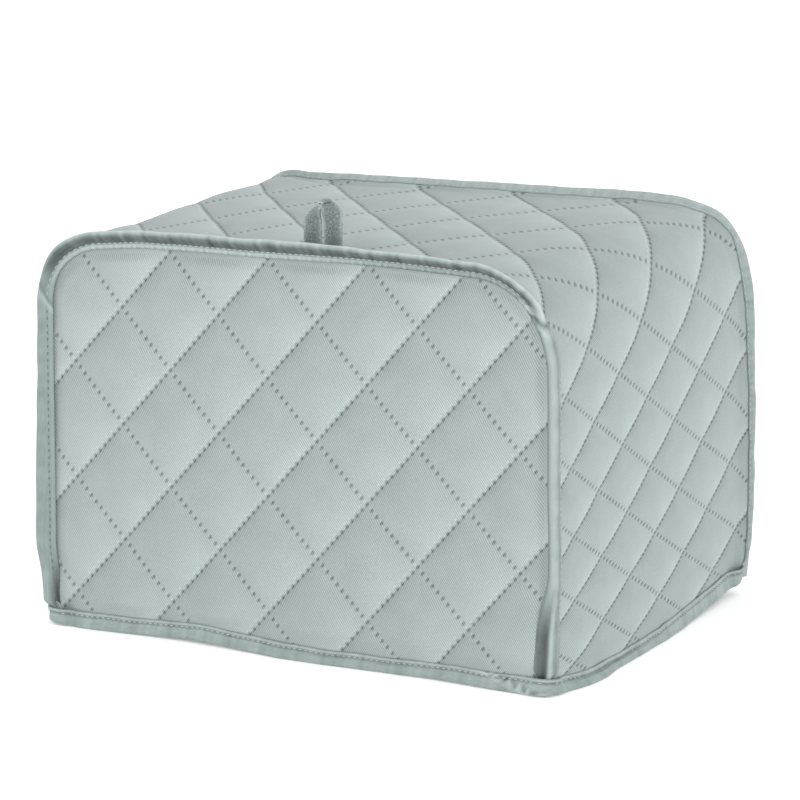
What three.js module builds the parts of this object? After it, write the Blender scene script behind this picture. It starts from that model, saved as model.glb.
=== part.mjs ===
// A quilted toaster cover that stands open on its hem: two D-shaped panels, one gusset strip between
// them, tape bound over the two seams and round the hem, and a hanging loop on top.
// Millimetres, +Z up, the front panel faces -Y, and the origin is on the floor under the middle.

import * as THREE from 'three';

// Size over the seam flanges, before the cloth settles
const WIDTH = 292;
const DEPTH = 222;
const CORNER_HEIGHT = 203;
const CORNER_RADIUS = { front: { left: 36, right: 48 }, back: { left: 28, right: 48 } };

// Cloth, seam allowance and tape
const CLOTH = 2.4;
const PANEL_PUFF = 3.0;
const GUSSET_PUFF = 2.5;
const GUSSET_DOME = 2.5;
const MARGIN = 0.9;
const MARGIN_LENGTH = 10.1;
const MARGIN_BOTTOM = 12;
const TRIM = 0.1;
const TAPE = 0.9;
const FLANGE_LENGTH = 11.5;
const TIP_ROUNDING = 0.95;
const GAP = 0.3;
const FRONT_LEAN = 32;
const BACK_LEAN = 58;
const LEAN_WANDER = 3;
const FLANGE_TAPER = { length: 2.8, bottom: 10, top: 38 };

// Hem binding
const HEM_HEIGHT = 10;
const CLOTH_FOOT = 1.4;
const HEM_LINE = 2.4;
const EAR = { reach: 3.4, start: 9 };

// Quilting: the front's diamonds are 55 wide and 59 tall, the gusset's lie 61 apart from front to back
const PANEL_STITCH = { at: [-96.8, 165], rising: [27.4, 30.6], falling: [27.4, -28.3] };
const BACK_STITCH = { at: [-88, 151], rising: [27.4, 29.4], falling: [27.4, -29.4] };
const GUSSET_STITCH = { pitch: 60.8, y: -67.5, z: 127.6 };
const RISING_SLANT = { top: 1.06, side: 1.54 };
const FALLING_SLANT = { top: 1.49, side: 1.83 };
const PANEL_STEPS = 4;
const GUSSET_STEPS = 3;
const FLAT_BORDER = 3;
const BORDER_RISE = 11;
const HEM_FLAT = 5;
const LOOP_FLAT = { inner: 9, rise: 14 };
const SNAP = 0.6;
const LATTICE_REACH = { panel: [-8, 14], gusset: [-20, 20] };

// How the soft shell settles
const ARCH = { front: 5.5, back: -2.4 };
const TILT = { front: 2.6, back: 3.2 };
const TUCK = { left: 2.6, right: 1.4, height: 40 };
const HEM_BOW = { left: 2, right: 3, height: 90 };
const BELLY = { front: 1.6, back: 2.2 };
const BACK_LIFT = 5;

// Hanging loop
const LOOP_TAPE = { width: 10, thickness: 1.5 };
const LOOP_X = 10.5;
const LOOP_Y = -95;
const LOOP_HEIGHT = 27.5;
const LOOP_FOOT = 6;
const LOOP_SLIT = 1.2;
const LOOP_BEND = 2.2;
const LOOP_TURN = { angle: 76, height: 7.5 };

const mix = (a, b, t) => a + (b - a) * t;
const mixAll = (a, b, t) => a.map((value, i) => mix(value, b[i], t));
const clamp = (t, low = 0, high = 1) => Math.min(high, Math.max(low, t));
const smooth = (t) => clamp(t) ** 2 * (3 - 2 * clamp(t));
const radians = THREE.MathUtils.degToRad;

// The soft shell's stance. The top arches and tilts, the sides tuck in above the hem and bow out
// halfway back, the panels belly, and the hem lifts a little at the back right corner.
function settle([x, y, z]) {
  const across = x / (WIDTH / 2);
  const along = y / (DEPTH / 2);
  const back = (along + 1) / 2;
  const up = z / CORNER_HEIGHT;
  const side = across < 0 ? 'left' : 'right';
  const arch = mix(ARCH.front, ARCH.back, back) * (1 - across ** 2) + mix(TILT.front, TILT.back, back) * across;
  const tuck = TUCK[side] * clamp(1 - z / TUCK.height) ** 1.5;
  const bow = HEM_BOW[side] * (1 - along ** 2) * clamp(1 - z / HEM_BOW.height);
  const belly = mix(BELLY.front, BELLY.back, back) * (1 - across ** 2) * Math.sin(Math.PI * clamp(up)) * along;
  const lift = BACK_LIFT * clamp(along) ** 2 * clamp(across) ** 2 * (1 - clamp(up));
  return [x + (bow - tuck) * across, y + belly, z + arch * clamp(up) + lift];
}

// Gathers the points and triangles of one closed piece.
class Piece {
  constructor() {
    this.points = [];
    this.triangles = [];
  }

  add(points) {
    const first = this.points.length;
    this.points.push(...points.map(settle));
    return points.map((_, i) => first + i);
  }

  face(a, b, c) {
    this.triangles.push(a, b, c);
  }

  quad(a, b, c, d) {
    this.face(a, b, c);
    this.face(a, c, d);
  }

  mesh(name, material) {
    const geometry = new THREE.BufferGeometry();
    geometry.setAttribute('position', new THREE.Float32BufferAttribute(this.points.flat(), 3));
    geometry.setIndex(this.triangles);
    geometry.computeVertexNormals();
    const mesh = new THREE.Mesh(geometry, material);
    mesh.name = name;
    return mesh;
  }
}

// Joins two closed rings of corners that are sorted by place; the upper ring is the outer side's.
function zip(piece, upper, lower, length) {
  const place = (ring, i) => (i < ring.length ? ring[i].place : length);
  const corner = (ring, i) => ring[i % ring.length].corner;
  let i = 0;
  let j = 0;
  while (i < upper.length || j < lower.length) {
    const stepUpper = j === lower.length || (i < upper.length && place(upper, i + 1) <= place(lower, j + 1));
    if (stepUpper) {
      piece.face(corner(upper, i + 1), corner(upper, i), corner(lower, j));
      i += 1;
    } else {
      piece.face(corner(lower, j), corner(lower, j + 1), corner(upper, i));
      j += 1;
    }
  }
}

// Carries a closed section along stations. Each station is a list of the section's corners; an open
// run gets a flat cap at each end.
function sweep(piece, stations, closed) {
  const rings = stations.map((corners) => piece.add(corners));
  const sides = rings[0].length;
  const runs = closed ? rings.length : rings.length - 1;
  for (let k = 0; k < runs; k += 1) {
    const here = rings[k];
    const next = rings[(k + 1) % rings.length];
    for (let i = 0; i < sides; i += 1) {
      const j = (i + 1) % sides;
      piece.quad(here[i], next[i], next[j], here[j]);
    }
  }
  return rings;
}

function cap(piece, ring, outline, outward) {
  const shape = outline.map(([a, b]) => new THREE.Vector2(a, b));
  THREE.ShapeUtils.triangulateShape(shape, []).forEach(([a, b, c]) => {
    if (outward) piece.face(ring[c], ring[b], ring[a]);
    else piece.face(ring[a], ring[b], ring[c]);
  });
}

// The seam flange in section. Along is measured up the flange from the stitched line, aside is
// towards the panel; out is away from the gusset, ahead is away from the panel. Near the hem the
// flange narrows.
function flangePoint(lean, along, aside, z = CORNER_HEIGHT) {
  const turn = radians(lean);
  const narrowing = 1 - smooth((z - FLANGE_TAPER.bottom) / (FLANGE_TAPER.top - FLANGE_TAPER.bottom));
  const length = along > FLANGE_LENGTH / 2 ? along - FLANGE_TAPER.length * narrowing : along;
  const out = length * Math.cos(turn) - aside * Math.sin(turn);
  const ahead = length * Math.sin(turn) + aside * Math.cos(turn);
  return [out, ahead];
}

const MARGIN_INSIDE = GAP / 2;
const MARGIN_OUTSIDE = MARGIN_INSIDE + MARGIN;
const TAPE_INSIDE = MARGIN_OUTSIDE + GAP;
const TAPE_OUTSIDE = TAPE_INSIDE + TAPE;
const TAPE_START = 3.4;
const TAPE_SECTION = [
  [TAPE_START, TAPE_OUTSIDE],
  [FLANGE_LENGTH - TIP_ROUNDING, TAPE_OUTSIDE],
  [FLANGE_LENGTH, TAPE_OUTSIDE - TIP_ROUNDING],
  [FLANGE_LENGTH, TIP_ROUNDING - TAPE_OUTSIDE],
  [FLANGE_LENGTH - TIP_ROUNDING, -TAPE_OUTSIDE],
  [TAPE_START, -TAPE_OUTSIDE],
  [TAPE_START, -TAPE_INSIDE],
  [MARGIN_LENGTH + GAP, -TAPE_INSIDE],
  [MARGIN_LENGTH + GAP, TAPE_INSIDE],
  [TAPE_START, TAPE_INSIDE],
];

// The two seams: where each one runs, and how far its flange stands outside it.
function makeSeam(name, lean, facing) {
  const section = TAPE_SECTION.map(([along, aside]) => flangePoint(lean, along, aside));
  const out = Math.max(...section.map((point) => point[0]));
  const ahead = Math.max(...section.map((point) => point[1]));
  const half = WIDTH / 2 - out;
  const height = CORNER_HEIGHT - out;
  const left = CORNER_RADIUS[name].left - out;
  const right = CORNER_RADIUS[name].right - out;
  return { name, lean, facing, half, height, left, right, y: facing * (DEPTH / 2 - ahead) };
}

const FRONT = makeSeam('front', FRONT_LEAN, -1);
const BACK = makeSeam('back', BACK_LEAN, 1);

// Stations along a seam from the left foot over the top to the right foot.
const TRIMMED_LEVEL = HEM_HEIGHT + 0.4;
const TAPE_BOTTOM = HEM_HEIGHT + 0.6;
const SIDE_LEVELS = [HEM_LINE, TRIMMED_LEVEL, 14, 34, 62, 110];
const CORNER_STEPS = { left: 6, right: 7 };
const TOP_STEPS = 6;

function seamStations(seam) {
  const stations = [];
  const leftTop = seam.height - seam.left;
  const rightTop = seam.height - seam.right;
  SIDE_LEVELS.forEach((z) => stations.push({ x: -seam.half, z, out: [-1, 0] }));
  for (let i = 0; i <= CORNER_STEPS.left; i += 1) {
    const turn = Math.PI - (Math.PI / 2) * (i / CORNER_STEPS.left);
    const out = [Math.cos(turn), Math.sin(turn)];
    stations.push({ x: seam.left - seam.half + seam.left * out[0], z: leftTop + seam.left * out[1], out });
  }
  for (let i = 1; i < TOP_STEPS; i += 1) {
    const x = mix(seam.left - seam.half, seam.half - seam.right, i / TOP_STEPS);
    stations.push({ x, z: seam.height, out: [0, 1] });
  }
  for (let i = 0; i <= CORNER_STEPS.right; i += 1) {
    const turn = (Math.PI / 2) * (1 - i / CORNER_STEPS.right);
    const out = [Math.cos(turn), Math.sin(turn)];
    stations.push({ x: seam.half - seam.right + seam.right * out[0], z: rightTop + seam.right * out[1], out });
  }
  [...SIDE_LEVELS].reverse().forEach((z) => stations.push({ x: seam.half, z, out: [1, 0] }));
  return stations;
}

FRONT.stations = seamStations(FRONT);
BACK.stations = seamStations(BACK);

// A point of a seam's flange at one station, out from the stitched line and ahead of the panel.
function seamPoint(seam, station, [out, ahead]) {
  const { x, z } = station;
  return [x + station.out[0] * out, seam.y + seam.facing * ahead, z + station.out[1] * out];
}

// The flange leans over a little more or less from place to place, as pressed tape does.
function leanAt(seam, k) {
  const near = Math.min(k, seam.stations.length - 1 - k);
  return seam.lean + LEAN_WANDER * Math.sin(0.6 * k + seam.facing) * smooth((near - 2) / 5);
}

// Inside the hem binding the seam allowances are trimmed off flush.
function marginLength(station, flush) {
  return station.out[1] === 0 && station.z < MARGIN_BOTTOM ? flush + TRIM : MARGIN_LENGTH;
}

// The four rings round a sheet's border: its outer face, the outer and inner edge of its seam
// allowance, and its inner face.
function panelBorder(seam, station, k) {
  const lean = leanAt(seam, k);
  const turn = radians(lean);
  const outer = (CLOTH - MARGIN_OUTSIDE * Math.cos(turn)) / Math.sin(turn);
  const inner = (-MARGIN_INSIDE * Math.cos(turn)) / Math.sin(turn);
  const length = marginLength(station, outer);
  return [[outer, MARGIN_OUTSIDE], [length, MARGIN_OUTSIDE], [length, MARGIN_INSIDE], [inner, MARGIN_INSIDE]]
    .map(([along, aside]) => seamPoint(seam, station, flangePoint(lean, along, aside, station.z)));
}

function gussetBorder(seam, station, k) {
  const lean = leanAt(seam, k);
  const turn = radians(lean);
  const outer = (CLOTH - MARGIN_OUTSIDE * Math.sin(turn)) / Math.cos(turn);
  const inner = (-MARGIN_INSIDE * Math.sin(turn)) / Math.cos(turn);
  const length = marginLength(station, outer);
  return [[outer, -MARGIN_OUTSIDE], [length, -MARGIN_OUTSIDE], [length, -MARGIN_INSIDE], [inner, -MARGIN_INSIDE]]
    .map(([along, aside]) => seamPoint(seam, station, flangePoint(lean, along, aside, station.z)));
}

// At the hem the border only reaches down into the hem binding.
function atFoot(border) {
  return border.map(([x, y, z], ring) => (ring === 1 || ring === 2 ? [x, y, CLOTH_FOOT] : [x, y, z]));
}

// Pillow between stitched lines: nothing on the lines, 1 in the middle, steep beside the stitches.
function pillow(m, n) {
  return Math.abs(Math.sin(Math.PI * m) * Math.sin(Math.PI * n)) ** 0.55;
}

// Cuts a polygon with the half-plane left of the line from a to b.
function cut(polygon, a, b) {
  const side = ([u, v]) => (b[0] - a[0]) * (v - a[1]) - (b[1] - a[1]) * (u - a[0]);
  const kept = [];
  polygon.forEach((here, i) => {
    const next = polygon[(i + 1) % polygon.length];
    const s = side(here);
    const t = side(next);
    if (s >= 0) kept.push(here);
    if (s * t < 0) {
      const meet = mixAll(here.slice(0, 2), next.slice(0, 2), s / (s - t));
      kept.push([...meet, 0]);
    }
  });
  return kept;
}

// Twice the area of a triangle, positive where its corners run anticlockwise.
function doubleArea([au, av], [bu, bv], [cu, cv]) {
  return (bu - au) * (cv - av) - (bv - av) * (cu - au);
}

// Splits a convex polygon into a fan, from the corner whose thinnest triangle is the widest.
function fan(points, corners) {
  let best = { least: -Infinity, triangles: [] };
  corners.forEach((_, start) => {
    const turned = [...corners.slice(start), ...corners.slice(0, start)];
    const triangles = turned.slice(2).map((corner, i) => [turned[0], turned[i + 1], corner]);
    const least = Math.min(...triangles.map((triangle) => doubleArea(...triangle.map((i) => points[i]))));
    if (least > best.least) best = { least, triangles };
  });
  return best.triangles;
}

// Moves a point that lies almost on a convex outline's edge onto it, so that no sliver is cut there.
function ontoEdge(outline, point) {
  const [u, v] = point;
  let moved = point;
  outline.forEach(([au, av], k) => {
    const [bu, bv] = outline[(k + 1) % outline.length];
    const length = Math.hypot(bu - au, bv - av);
    const off = ((bu - au) * (v - av) - (bv - av) * (u - au)) / length;
    const t = ((u - au) * (bu - au) + (v - av) * (bv - av)) / length ** 2;
    const beside = Math.abs(off) < SNAP && t > 0 && t < 1;
    if (beside) moved = [mix(au, bu, t), mix(av, bv, t), 0];
  });
  return moved;
}

// Lays a stitch lattice over a convex outline and cuts it to that outline. The corners hold their
// place in the flat cloth and their puff; the loop is the outline's edge, sorted by place along it.
function patch(outline, lattice, range, steps, puff) {
  const points = [];
  const faces = [];
  const known = new Map();
  const indexOf = (raw) => {
    const corner = outline.find(([u, v]) => Math.hypot(u - raw[0], v - raw[1]) < SNAP);
    const point = corner ? [...corner, 0] : raw;
    const key = `${Math.round(point[0] * 2000)},${Math.round(point[1] * 2000)}`;
    if (!known.has(key)) {
      known.set(key, points.length);
      points.push(point);
    }
    return known.get(key);
  };
  const node = (m, n) => {
    const [u, v] = lattice(m / steps, n / steps);
    return ontoEdge(outline, [u, v, puff(u, v) * pillow(m / steps, n / steps)]);
  };
  const edges = outline.map((a, i) => [a, outline[(i + 1) % outline.length]]);
  const keep = (triangle) => {
    const [a, b, c] = triangle;
    let polygon = doubleArea(a, b, c) > 0 ? triangle : [a, c, b];
    edges.forEach(([from, to]) => {
      if (polygon.length > 2) polygon = cut(polygon, from, to);
    });
    const corners = polygon.map(indexOf).filter((corner, i, all) => all.indexOf(corner) === i);
    faces.push(...fan(points, corners));
  };
  for (let m = range[0] * steps; m < range[1] * steps; m += 1) {
    for (let n = range[0] * steps; n < range[1] * steps; n += 1) {
      const [p, q, r, s] = [node(m, n), node(m + 1, n), node(m + 1, n + 1), node(m, n + 1)];
      if (p[2] + r[2] > q[2] + s[2]) [[p, q, r], [p, r, s]].forEach(keep);
      else [[p, q, s], [q, r, s]].forEach(keep);
    }
  }
  return { points, faces, loop: edgeLoop(points, faces, outline) };
}

// Place along an outline: the number of the edge that a point lies on, and how far along it is.
function placeOn(outline, [u, v]) {
  let best = { off: Infinity, place: 0 };
  outline.forEach(([au, av], k) => {
    const [bu, bv] = outline[(k + 1) % outline.length];
    const length = Math.hypot(bu - au, bv - av);
    const t = clamp(((u - au) * (bu - au) + (v - av) * (bv - av)) / length ** 2);
    const off = Math.hypot(u - mix(au, bu, t), v - mix(av, bv, t));
    if (off < best.off - 1e-6) best = { off, place: (k + t) % outline.length };
  });
  return best.place;
}

// Puts every station of the outline on the cut edge, by splitting the triangles that miss one.
function edgeLoop(points, faces, outline) {
  const used = new Set();
  faces.forEach(([a, b, c]) => [[a, b], [b, c], [c, a]].forEach(([i, j]) => used.add(`${i},${j}`)));
  const near = (place) => (Math.abs(place - Math.round(place)) < 1e-3 ? Math.round(place) % outline.length : place);
  const loop = new Map();
  for (let f = faces.length - 1; f >= 0; f -= 1) {
    const turnEdge = [0, 1, 2].find((i) => !used.has(`${faces[f][(i + 1) % 3]},${faces[f][i]}`));
    if (turnEdge === undefined) continue;
    const [a, b, c] = [0, 1, 2].map((i) => faces[f][(turnEdge + i) % 3]);
    const from = near(placeOn(outline, points[a]));
    const to = near(placeOn(outline, points[b]));
    loop.set(a, from);
    loop.set(b, to);
    const end = to < from - outline.length / 2 ? to + outline.length : to;
    let last = a;
    for (let k = Math.floor(from) + 1; k < end - 1e-3; k += 1) {
      points.push([...outline[k % outline.length], 0]);
      const added = points.length - 1;
      loop.set(added, k % outline.length);
      faces.push([last, added, c]);
      last = added;
    }
    if (last !== a) faces[f] = [last, b, c];
  }
  return [...loop].map(([corner, place]) => ({ corner, place })).sort((p, q) => p.place - q.place);
}

// Makes one sheet: an outer patch, an inner patch and the border's rings between them.
function makeSheet(outline, borders, outer, inner, placeOuter, placeInner) {
  const piece = new Piece();
  const onBorder = (ring, place) => {
    const k = Math.floor(place);
    return mixAll(borders[k][ring], borders[(k + 1) % borders.length][ring], place - k);
  };
  const lay = (half, ring, place) => {
    const edge = new Map(half.loop.map((entry) => [entry.corner, entry.place]));
    return piece.add(half.points.map((point, i) => (edge.has(i) ? onBorder(ring, edge.get(i)) : place(point))));
  };
  const top = lay(outer, 0, placeOuter);
  const under = lay(inner, 3, placeInner);
  outer.faces.forEach(([a, b, c]) => piece.face(top[a], top[b], top[c]));
  inner.faces.forEach(([a, b, c]) => piece.face(under[c], under[b], under[a]));
  const rings = [1, 2].map((ring) => piece.add(borders.map((border) => border[ring])));
  const stationed = rings.map((ring) => ring.map((corner, place) => ({ corner, place })));
  const outerLoop = outer.loop.map(({ corner, place }) => ({ corner: top[corner], place }));
  const innerLoop = inner.loop.map(({ corner, place }) => ({ corner: under[corner], place }));
  zip(piece, outerLoop, stationed[0], outline.length);
  zip(piece, stationed[0], stationed[1], outline.length);
  zip(piece, stationed[1], innerLoop, outline.length);
  return piece;
}

// Distance from a point inside a convex outline to its nearest edge.
function depthInside(outline, u, v) {
  return Math.min(...outline.map(([au, av], k) => {
    const [bu, bv] = outline[(k + 1) % outline.length];
    return ((bu - au) * (v - av) - (bv - av) * (u - au)) / Math.hypot(bu - au, bv - av);
  }));
}

const rise = (distance) => smooth((distance - FLAT_BORDER) / BORDER_RISE);

// Fractions along one side of the foot, closer together beside the corners.
function footPlaces(steps, length) {
  const places = [EAR.start / length];
  for (let i = 1; i < steps; i += 1) places.push(i / steps);
  return [...places, 1 - EAR.start / length];
}

// A panel, seen from outside: u runs to the right as its maker sees it, v is height.
const FOOT_STEPS = 6;

function makePanel(seam, stitch) {
  const mirror = -seam.facing;
  const arch = seam.stations.map((station, k) => ({ station, border: panelBorder(seam, station, k) }));
  arch[0].border = atFoot(arch[0].border);
  arch[arch.length - 1].border = atFoot(arch[arch.length - 1].border);
  footPlaces(FOOT_STEPS, 2 * seam.half).forEach((t) => {
    const x = mix(seam.half, -seam.half, t);
    const border = atFoot([CLOTH, CLOTH, 0, 0].map((ahead) => [x, seam.y + seam.facing * ahead, HEM_LINE]));
    arch.push({ station: { x, z: HEM_LINE }, border });
  });
  // Anticlockwise from outside: up the right-hand seam, over the top, down the left, along the foot
  const order = mirror > 0 ? [...arch].reverse() : arch;
  const outline = order.map(({ station }) => [mirror * station.x, station.z]);
  const borders = order.map(({ border }) => border);
  const lattice = (m, n) => [0, 1].map((i) => stitch.at[i] + m * stitch.rising[i] + n * stitch.falling[i]);
  const puff = (u, v) => PANEL_PUFF * rise(Math.min(depthInside(outline, u, v), v - HEM_HEIGHT - HEM_FLAT));
  const outer = patch(outline, lattice, LATTICE_REACH.panel, PANEL_STEPS, puff);
  const inner = patch(outline, lattice, LATTICE_REACH.panel, 1, () => 0);
  const at = (ahead) => ([u, v, height]) => [mirror * u, seam.y + seam.facing * (ahead + height), v];
  return makeSheet(outline, borders, outer, inner, at(CLOTH), at(0));
}

// The gusset lies flat as a strip: u runs along it from the left foot to the right foot and v from
// front to back. Each station's u is the running length of the two seams' average.
function stripLengths() {
  const lengths = [0];
  for (let k = 1; k < FRONT.stations.length; k += 1) {
    const step = [FRONT, BACK].map(({ stations }) => {
      const [a, b] = [stations[k - 1], stations[k]];
      return Math.hypot(b.x - a.x, b.z - a.z);
    });
    lengths.push(lengths[k - 1] + (step[0] + step[1]) / 2);
  }
  return lengths;
}

const STRIP = stripLengths();
const STRIP_LENGTH = STRIP[STRIP.length - 1];

// Station number, with its fraction, at a length along the strip.
function stripStation(u) {
  const k = clamp(STRIP.findIndex((length) => length > u) - 1, 0, STRIP.length - 2);
  return u >= STRIP_LENGTH ? STRIP.length - 1 : k + (u - STRIP[k]) / (STRIP[k + 1] - STRIP[k]);
}

// The bare gusset, without its quilting: between the seams, domed a little from front to back.
function gussetPoint(u, v, height) {
  const place = clamp(stripStation(u), 0, STRIP.length - 1);
  const k = Math.min(Math.floor(place), STRIP.length - 2);
  const pick = (seam) => {
    const [a, b] = [seam.stations[k], seam.stations[k + 1]];
    return mixAll([a.x, a.z, ...a.out], [b.x, b.z, ...b.out], place - k);
  };
  const t = (v - FRONT.y) / (BACK.y - FRONT.y);
  const [x, z, outX, outZ] = mixAll(pick(FRONT), pick(BACK), t);
  const away = (height + GUSSET_DOME * Math.sin(Math.PI * clamp(t))) / Math.hypot(outX, outZ);
  return [x + outX * away, v, z + outZ * away];
}

// Running total of a stitch line's slant along the strip, so that the lines bend over the corners.
// The strip is carried on past its ends for the stitch lines that come in from beyond them.
const BEYOND = 200;
const SLANT_BEND = { before: 20, length: 60 };

function slantTotal({ top, side }) {
  const middle = STRIP_LENGTH / 2;
  const flat = middle - STRIP[SIDE_LEVELS.length + CORNER_STEPS.left];
  const totals = [0];
  for (let u = 0; u <= STRIP_LENGTH + BEYOND; u += 1) {
    const bend = smooth((Math.abs(u - middle) - flat + SLANT_BEND.before) / SLANT_BEND.length);
    totals.push(totals[u] + mix(top, side, bend));
  }
  const end = totals.length - 2;
  return (u) => {
    const k = clamp(Math.floor(u), 0, end);
    return totals[k] + (totals[k + 1] - totals[k]) * (u - k);
  };
}

function gussetLattice() {
  const rising = slantTotal(RISING_SLANT);
  const falling = slantTotal(FALLING_SLANT);
  const u0 = STRIP_LENGTH - (GUSSET_STITCH.z - HEM_LINE);
  const both = (u) => rising(u) - rising(u0) + falling(u) - falling(u0);
  return (m, n) => {
    let [low, high] = [-BEYOND, STRIP_LENGTH + BEYOND];
    while (high - low > 1e-9) {
      const middle = (low + high) / 2;
      if (both(middle) < (m - n) * GUSSET_STITCH.pitch) low = middle;
      else high = middle;
    }
    const u = (low + high) / 2;
    return [u, GUSSET_STITCH.y + m * GUSSET_STITCH.pitch - (rising(u) - rising(u0))];
  };
}

const SIDE_FOOT_STEPS = 6;

// The gusset's foot between the two seams, at the right or the left end of the strip.
function gussetFoot(u, from, to) {
  return footPlaces(SIDE_FOOT_STEPS, Math.abs(to - from)).map((t) => {
    const v = mix(from, to, t);
    const [outer, inner] = [gussetPoint(u, v, CLOTH), gussetPoint(u, v, 0)];
    return { at: [u, v], border: atFoot([outer, outer, inner, inner]) };
  });
}

function makeGusset() {
  const along = (seam) => seam.stations.map((station, k) => {
    const border = gussetBorder(seam, station, k);
    const foot = k === 0 || k === seam.stations.length - 1;
    return { at: [STRIP[k], seam.y], border: foot ? atFoot(border) : border };
  });
  const around = [
    ...along(FRONT),
    ...gussetFoot(STRIP_LENGTH, FRONT.y, BACK.y),
    ...along(BACK).reverse(),
    ...gussetFoot(0, BACK.y, FRONT.y),
  ];
  const outline = around.map(({ at }) => at);
  const borders = around.map(({ border }) => border);
  const lattice = gussetLattice();
  const puff = (u, v) => {
    const foot = Math.min(u, STRIP_LENGTH - u) + HEM_LINE - HEM_HEIGHT - HEM_FLAT;
    const seam = Math.min(v - FRONT.y, BACK.y - v);
    const [x, y, z] = gussetPoint(u, v, 0);
    const loop = z > FRONT.height / 2 ? Math.hypot(x - LOOP_X, y - LOOP_Y) : Infinity;
    return GUSSET_PUFF * rise(Math.min(foot, seam)) * smooth((loop - LOOP_FLAT.inner) / LOOP_FLAT.rise);
  };
  const outer = patch(outline, lattice, LATTICE_REACH.gusset, GUSSET_STEPS, puff);
  const inner = patch(outline, lattice, LATTICE_REACH.gusset, 2, () => 0);
  const outside = ([u, v, height]) => gussetPoint(u, v, CLOTH + height);
  const inside = ([u, v]) => gussetPoint(u, v, 0);
  return makeSheet(outline, borders, outer, inner, outside, inside);
}

// Tape folded over a seam's allowances, from just above the hem binding round to the other side.
function makeSeamBinding(seam) {
  const piece = new Piece();
  const last = seam.stations.length - 1;
  const chosen = seam.stations.map((station, k) => ({ station, k }))
    .filter(({ station, k }) => station.z > TAPE_BOTTOM && k > 0 && k < last);
  chosen.unshift({ station: { ...seam.stations[1], z: TAPE_BOTTOM }, k: 1 });
  chosen.push({ station: { ...seam.stations[last - 1], z: TAPE_BOTTOM }, k: last - 1 });
  const stations = chosen.map(({ station, k }) => TAPE_SECTION.map(([along, aside]) => (
    seamPoint(seam, station, flangePoint(leanAt(seam, k), along, aside, station.z)))));
  const order = seam.facing < 0 ? stations : stations.reverse();
  const rings = sweep(piece, order, false);
  cap(piece, rings[0], TAPE_SECTION, true);
  cap(piece, rings[rings.length - 1], TAPE_SECTION, false);
  return piece;
}

// Tape folded up over the foot of the panels and the gusset, one closed ring flat on the floor.
function hemPath() {
  const path = [];
  const corners = [
    [-FRONT.half, FRONT.y], [FRONT.half, FRONT.y], [BACK.half, BACK.y], [-BACK.half, BACK.y],
  ];
  const side = (u, from, to) => footPlaces(SIDE_FOOT_STEPS, Math.abs(to - from)).forEach((t) => {
    const [x, y] = gussetPoint(u, mix(from, to, t), 0);
    path.push([x, y]);
  });
  const straight = (a, b) => footPlaces(FOOT_STEPS, Math.abs(b[0] - a[0]))
    .forEach((t) => path.push(mixAll(a, b, t)));
  path.push(corners[0]);
  straight(corners[0], corners[1]);
  path.push(corners[1]);
  side(STRIP_LENGTH, FRONT.y, BACK.y);
  path.push(corners[2]);
  straight(corners[2], corners[3]);
  path.push(corners[3]);
  side(0, BACK.y, FRONT.y);
  return path;
}

// At the four corners the tape's outer arm stands out as an ear, round the foot of the seam flange.
function makeHemBinding() {
  const piece = new Piece();
  const outside = CLOTH + GAP;
  const inside = -GAP;
  const slot = CLOTH_FOOT - GAP;
  const section = [
    [outside + TAPE, 0], [outside + TAPE, HEM_HEIGHT], [outside, HEM_HEIGHT], [outside, slot],
    [inside, slot], [inside, HEM_HEIGHT], [inside - TAPE, HEM_HEIGHT], [inside - TAPE, 0],
  ];
  const path = hemPath();
  const count = path.length;
  const stations = path.map(([x, y], i) => {
    const before = path[(i + count - 1) % count];
    const after = path[(i + 1) % count];
    const normals = [[before, [x, y]], [[x, y], after]].map(([a, b]) => {
      const length = Math.hypot(b[0] - a[0], b[1] - a[1]);
      return [(b[1] - a[1]) / length, (a[0] - b[0]) / length];
    });
    const sum = [normals[0][0] + normals[1][0], normals[0][1] + normals[1][1]];
    const mitre = 2 / (sum[0] ** 2 + sum[1] ** 2);
    const ear = mitre > 0.8 ? EAR.reach : 0;
    return section.map(([out, z]) => {
      const away = mitre * (out > 0 ? out + ear : out);
      return [x + sum[0] * away, y + sum[1] * away, z];
    });
  });
  sweep(piece, stations, true);
  return piece;
}

// Hanging loop: a folded tape whose two limbs stand side by side, twist where they lean together
// and turn over at the top. Its feet lie flat behind the front binding, where they are sewn down.
const FOOT_BEND = 2;

function loopPath() {
  const { width, thickness } = LOOP_TAPE;
  const floor = gussetPoint(STRIP_LENGTH / 2, LOOP_Y, CLOTH)[2] + 2 * GAP + thickness / 2;
  const limb = [];
  const add = (aside, y, z, twist, pitch) => limb.push({ aside, y, z, twist, pitch });
  const flat = width / 2 + LOOP_SLIT / 2;
  add(flat, LOOP_Y - LOOP_FOOT, floor, 0, 90);
  add(flat, LOOP_Y - FOOT_BEND, floor, 0, 90);
  add(flat, LOOP_Y - 0.3 * FOOT_BEND, floor + 0.3 * FOOT_BEND, 0, 45);
  add(flat, LOOP_Y, floor + FOOT_BEND, 0, 0);
  const shoulder = floor + LOOP_HEIGHT - LOOP_BEND - LOOP_TURN.height;
  add(flat, LOOP_Y, mix(floor + FOOT_BEND, shoulder, 0.5), 0, 0);
  add(flat, LOOP_Y, shoulder, 0, 0);
  const steps = 7;
  for (let i = 1; i <= steps; i += 1) {
    const twist = LOOP_TURN.angle * (i / steps);
    const aside = Math.max(LOOP_BEND, LOOP_SLIT / 2 + (width / 2) * Math.cos(radians(twist)));
    const rising = Math.sin(radians(twist)) / Math.sin(radians(LOOP_TURN.angle));
    add(aside, LOOP_Y, shoulder + LOOP_TURN.height * rising, twist, 0);
  }
  return { limb, top: shoulder + LOOP_TURN.height };
}

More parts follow.
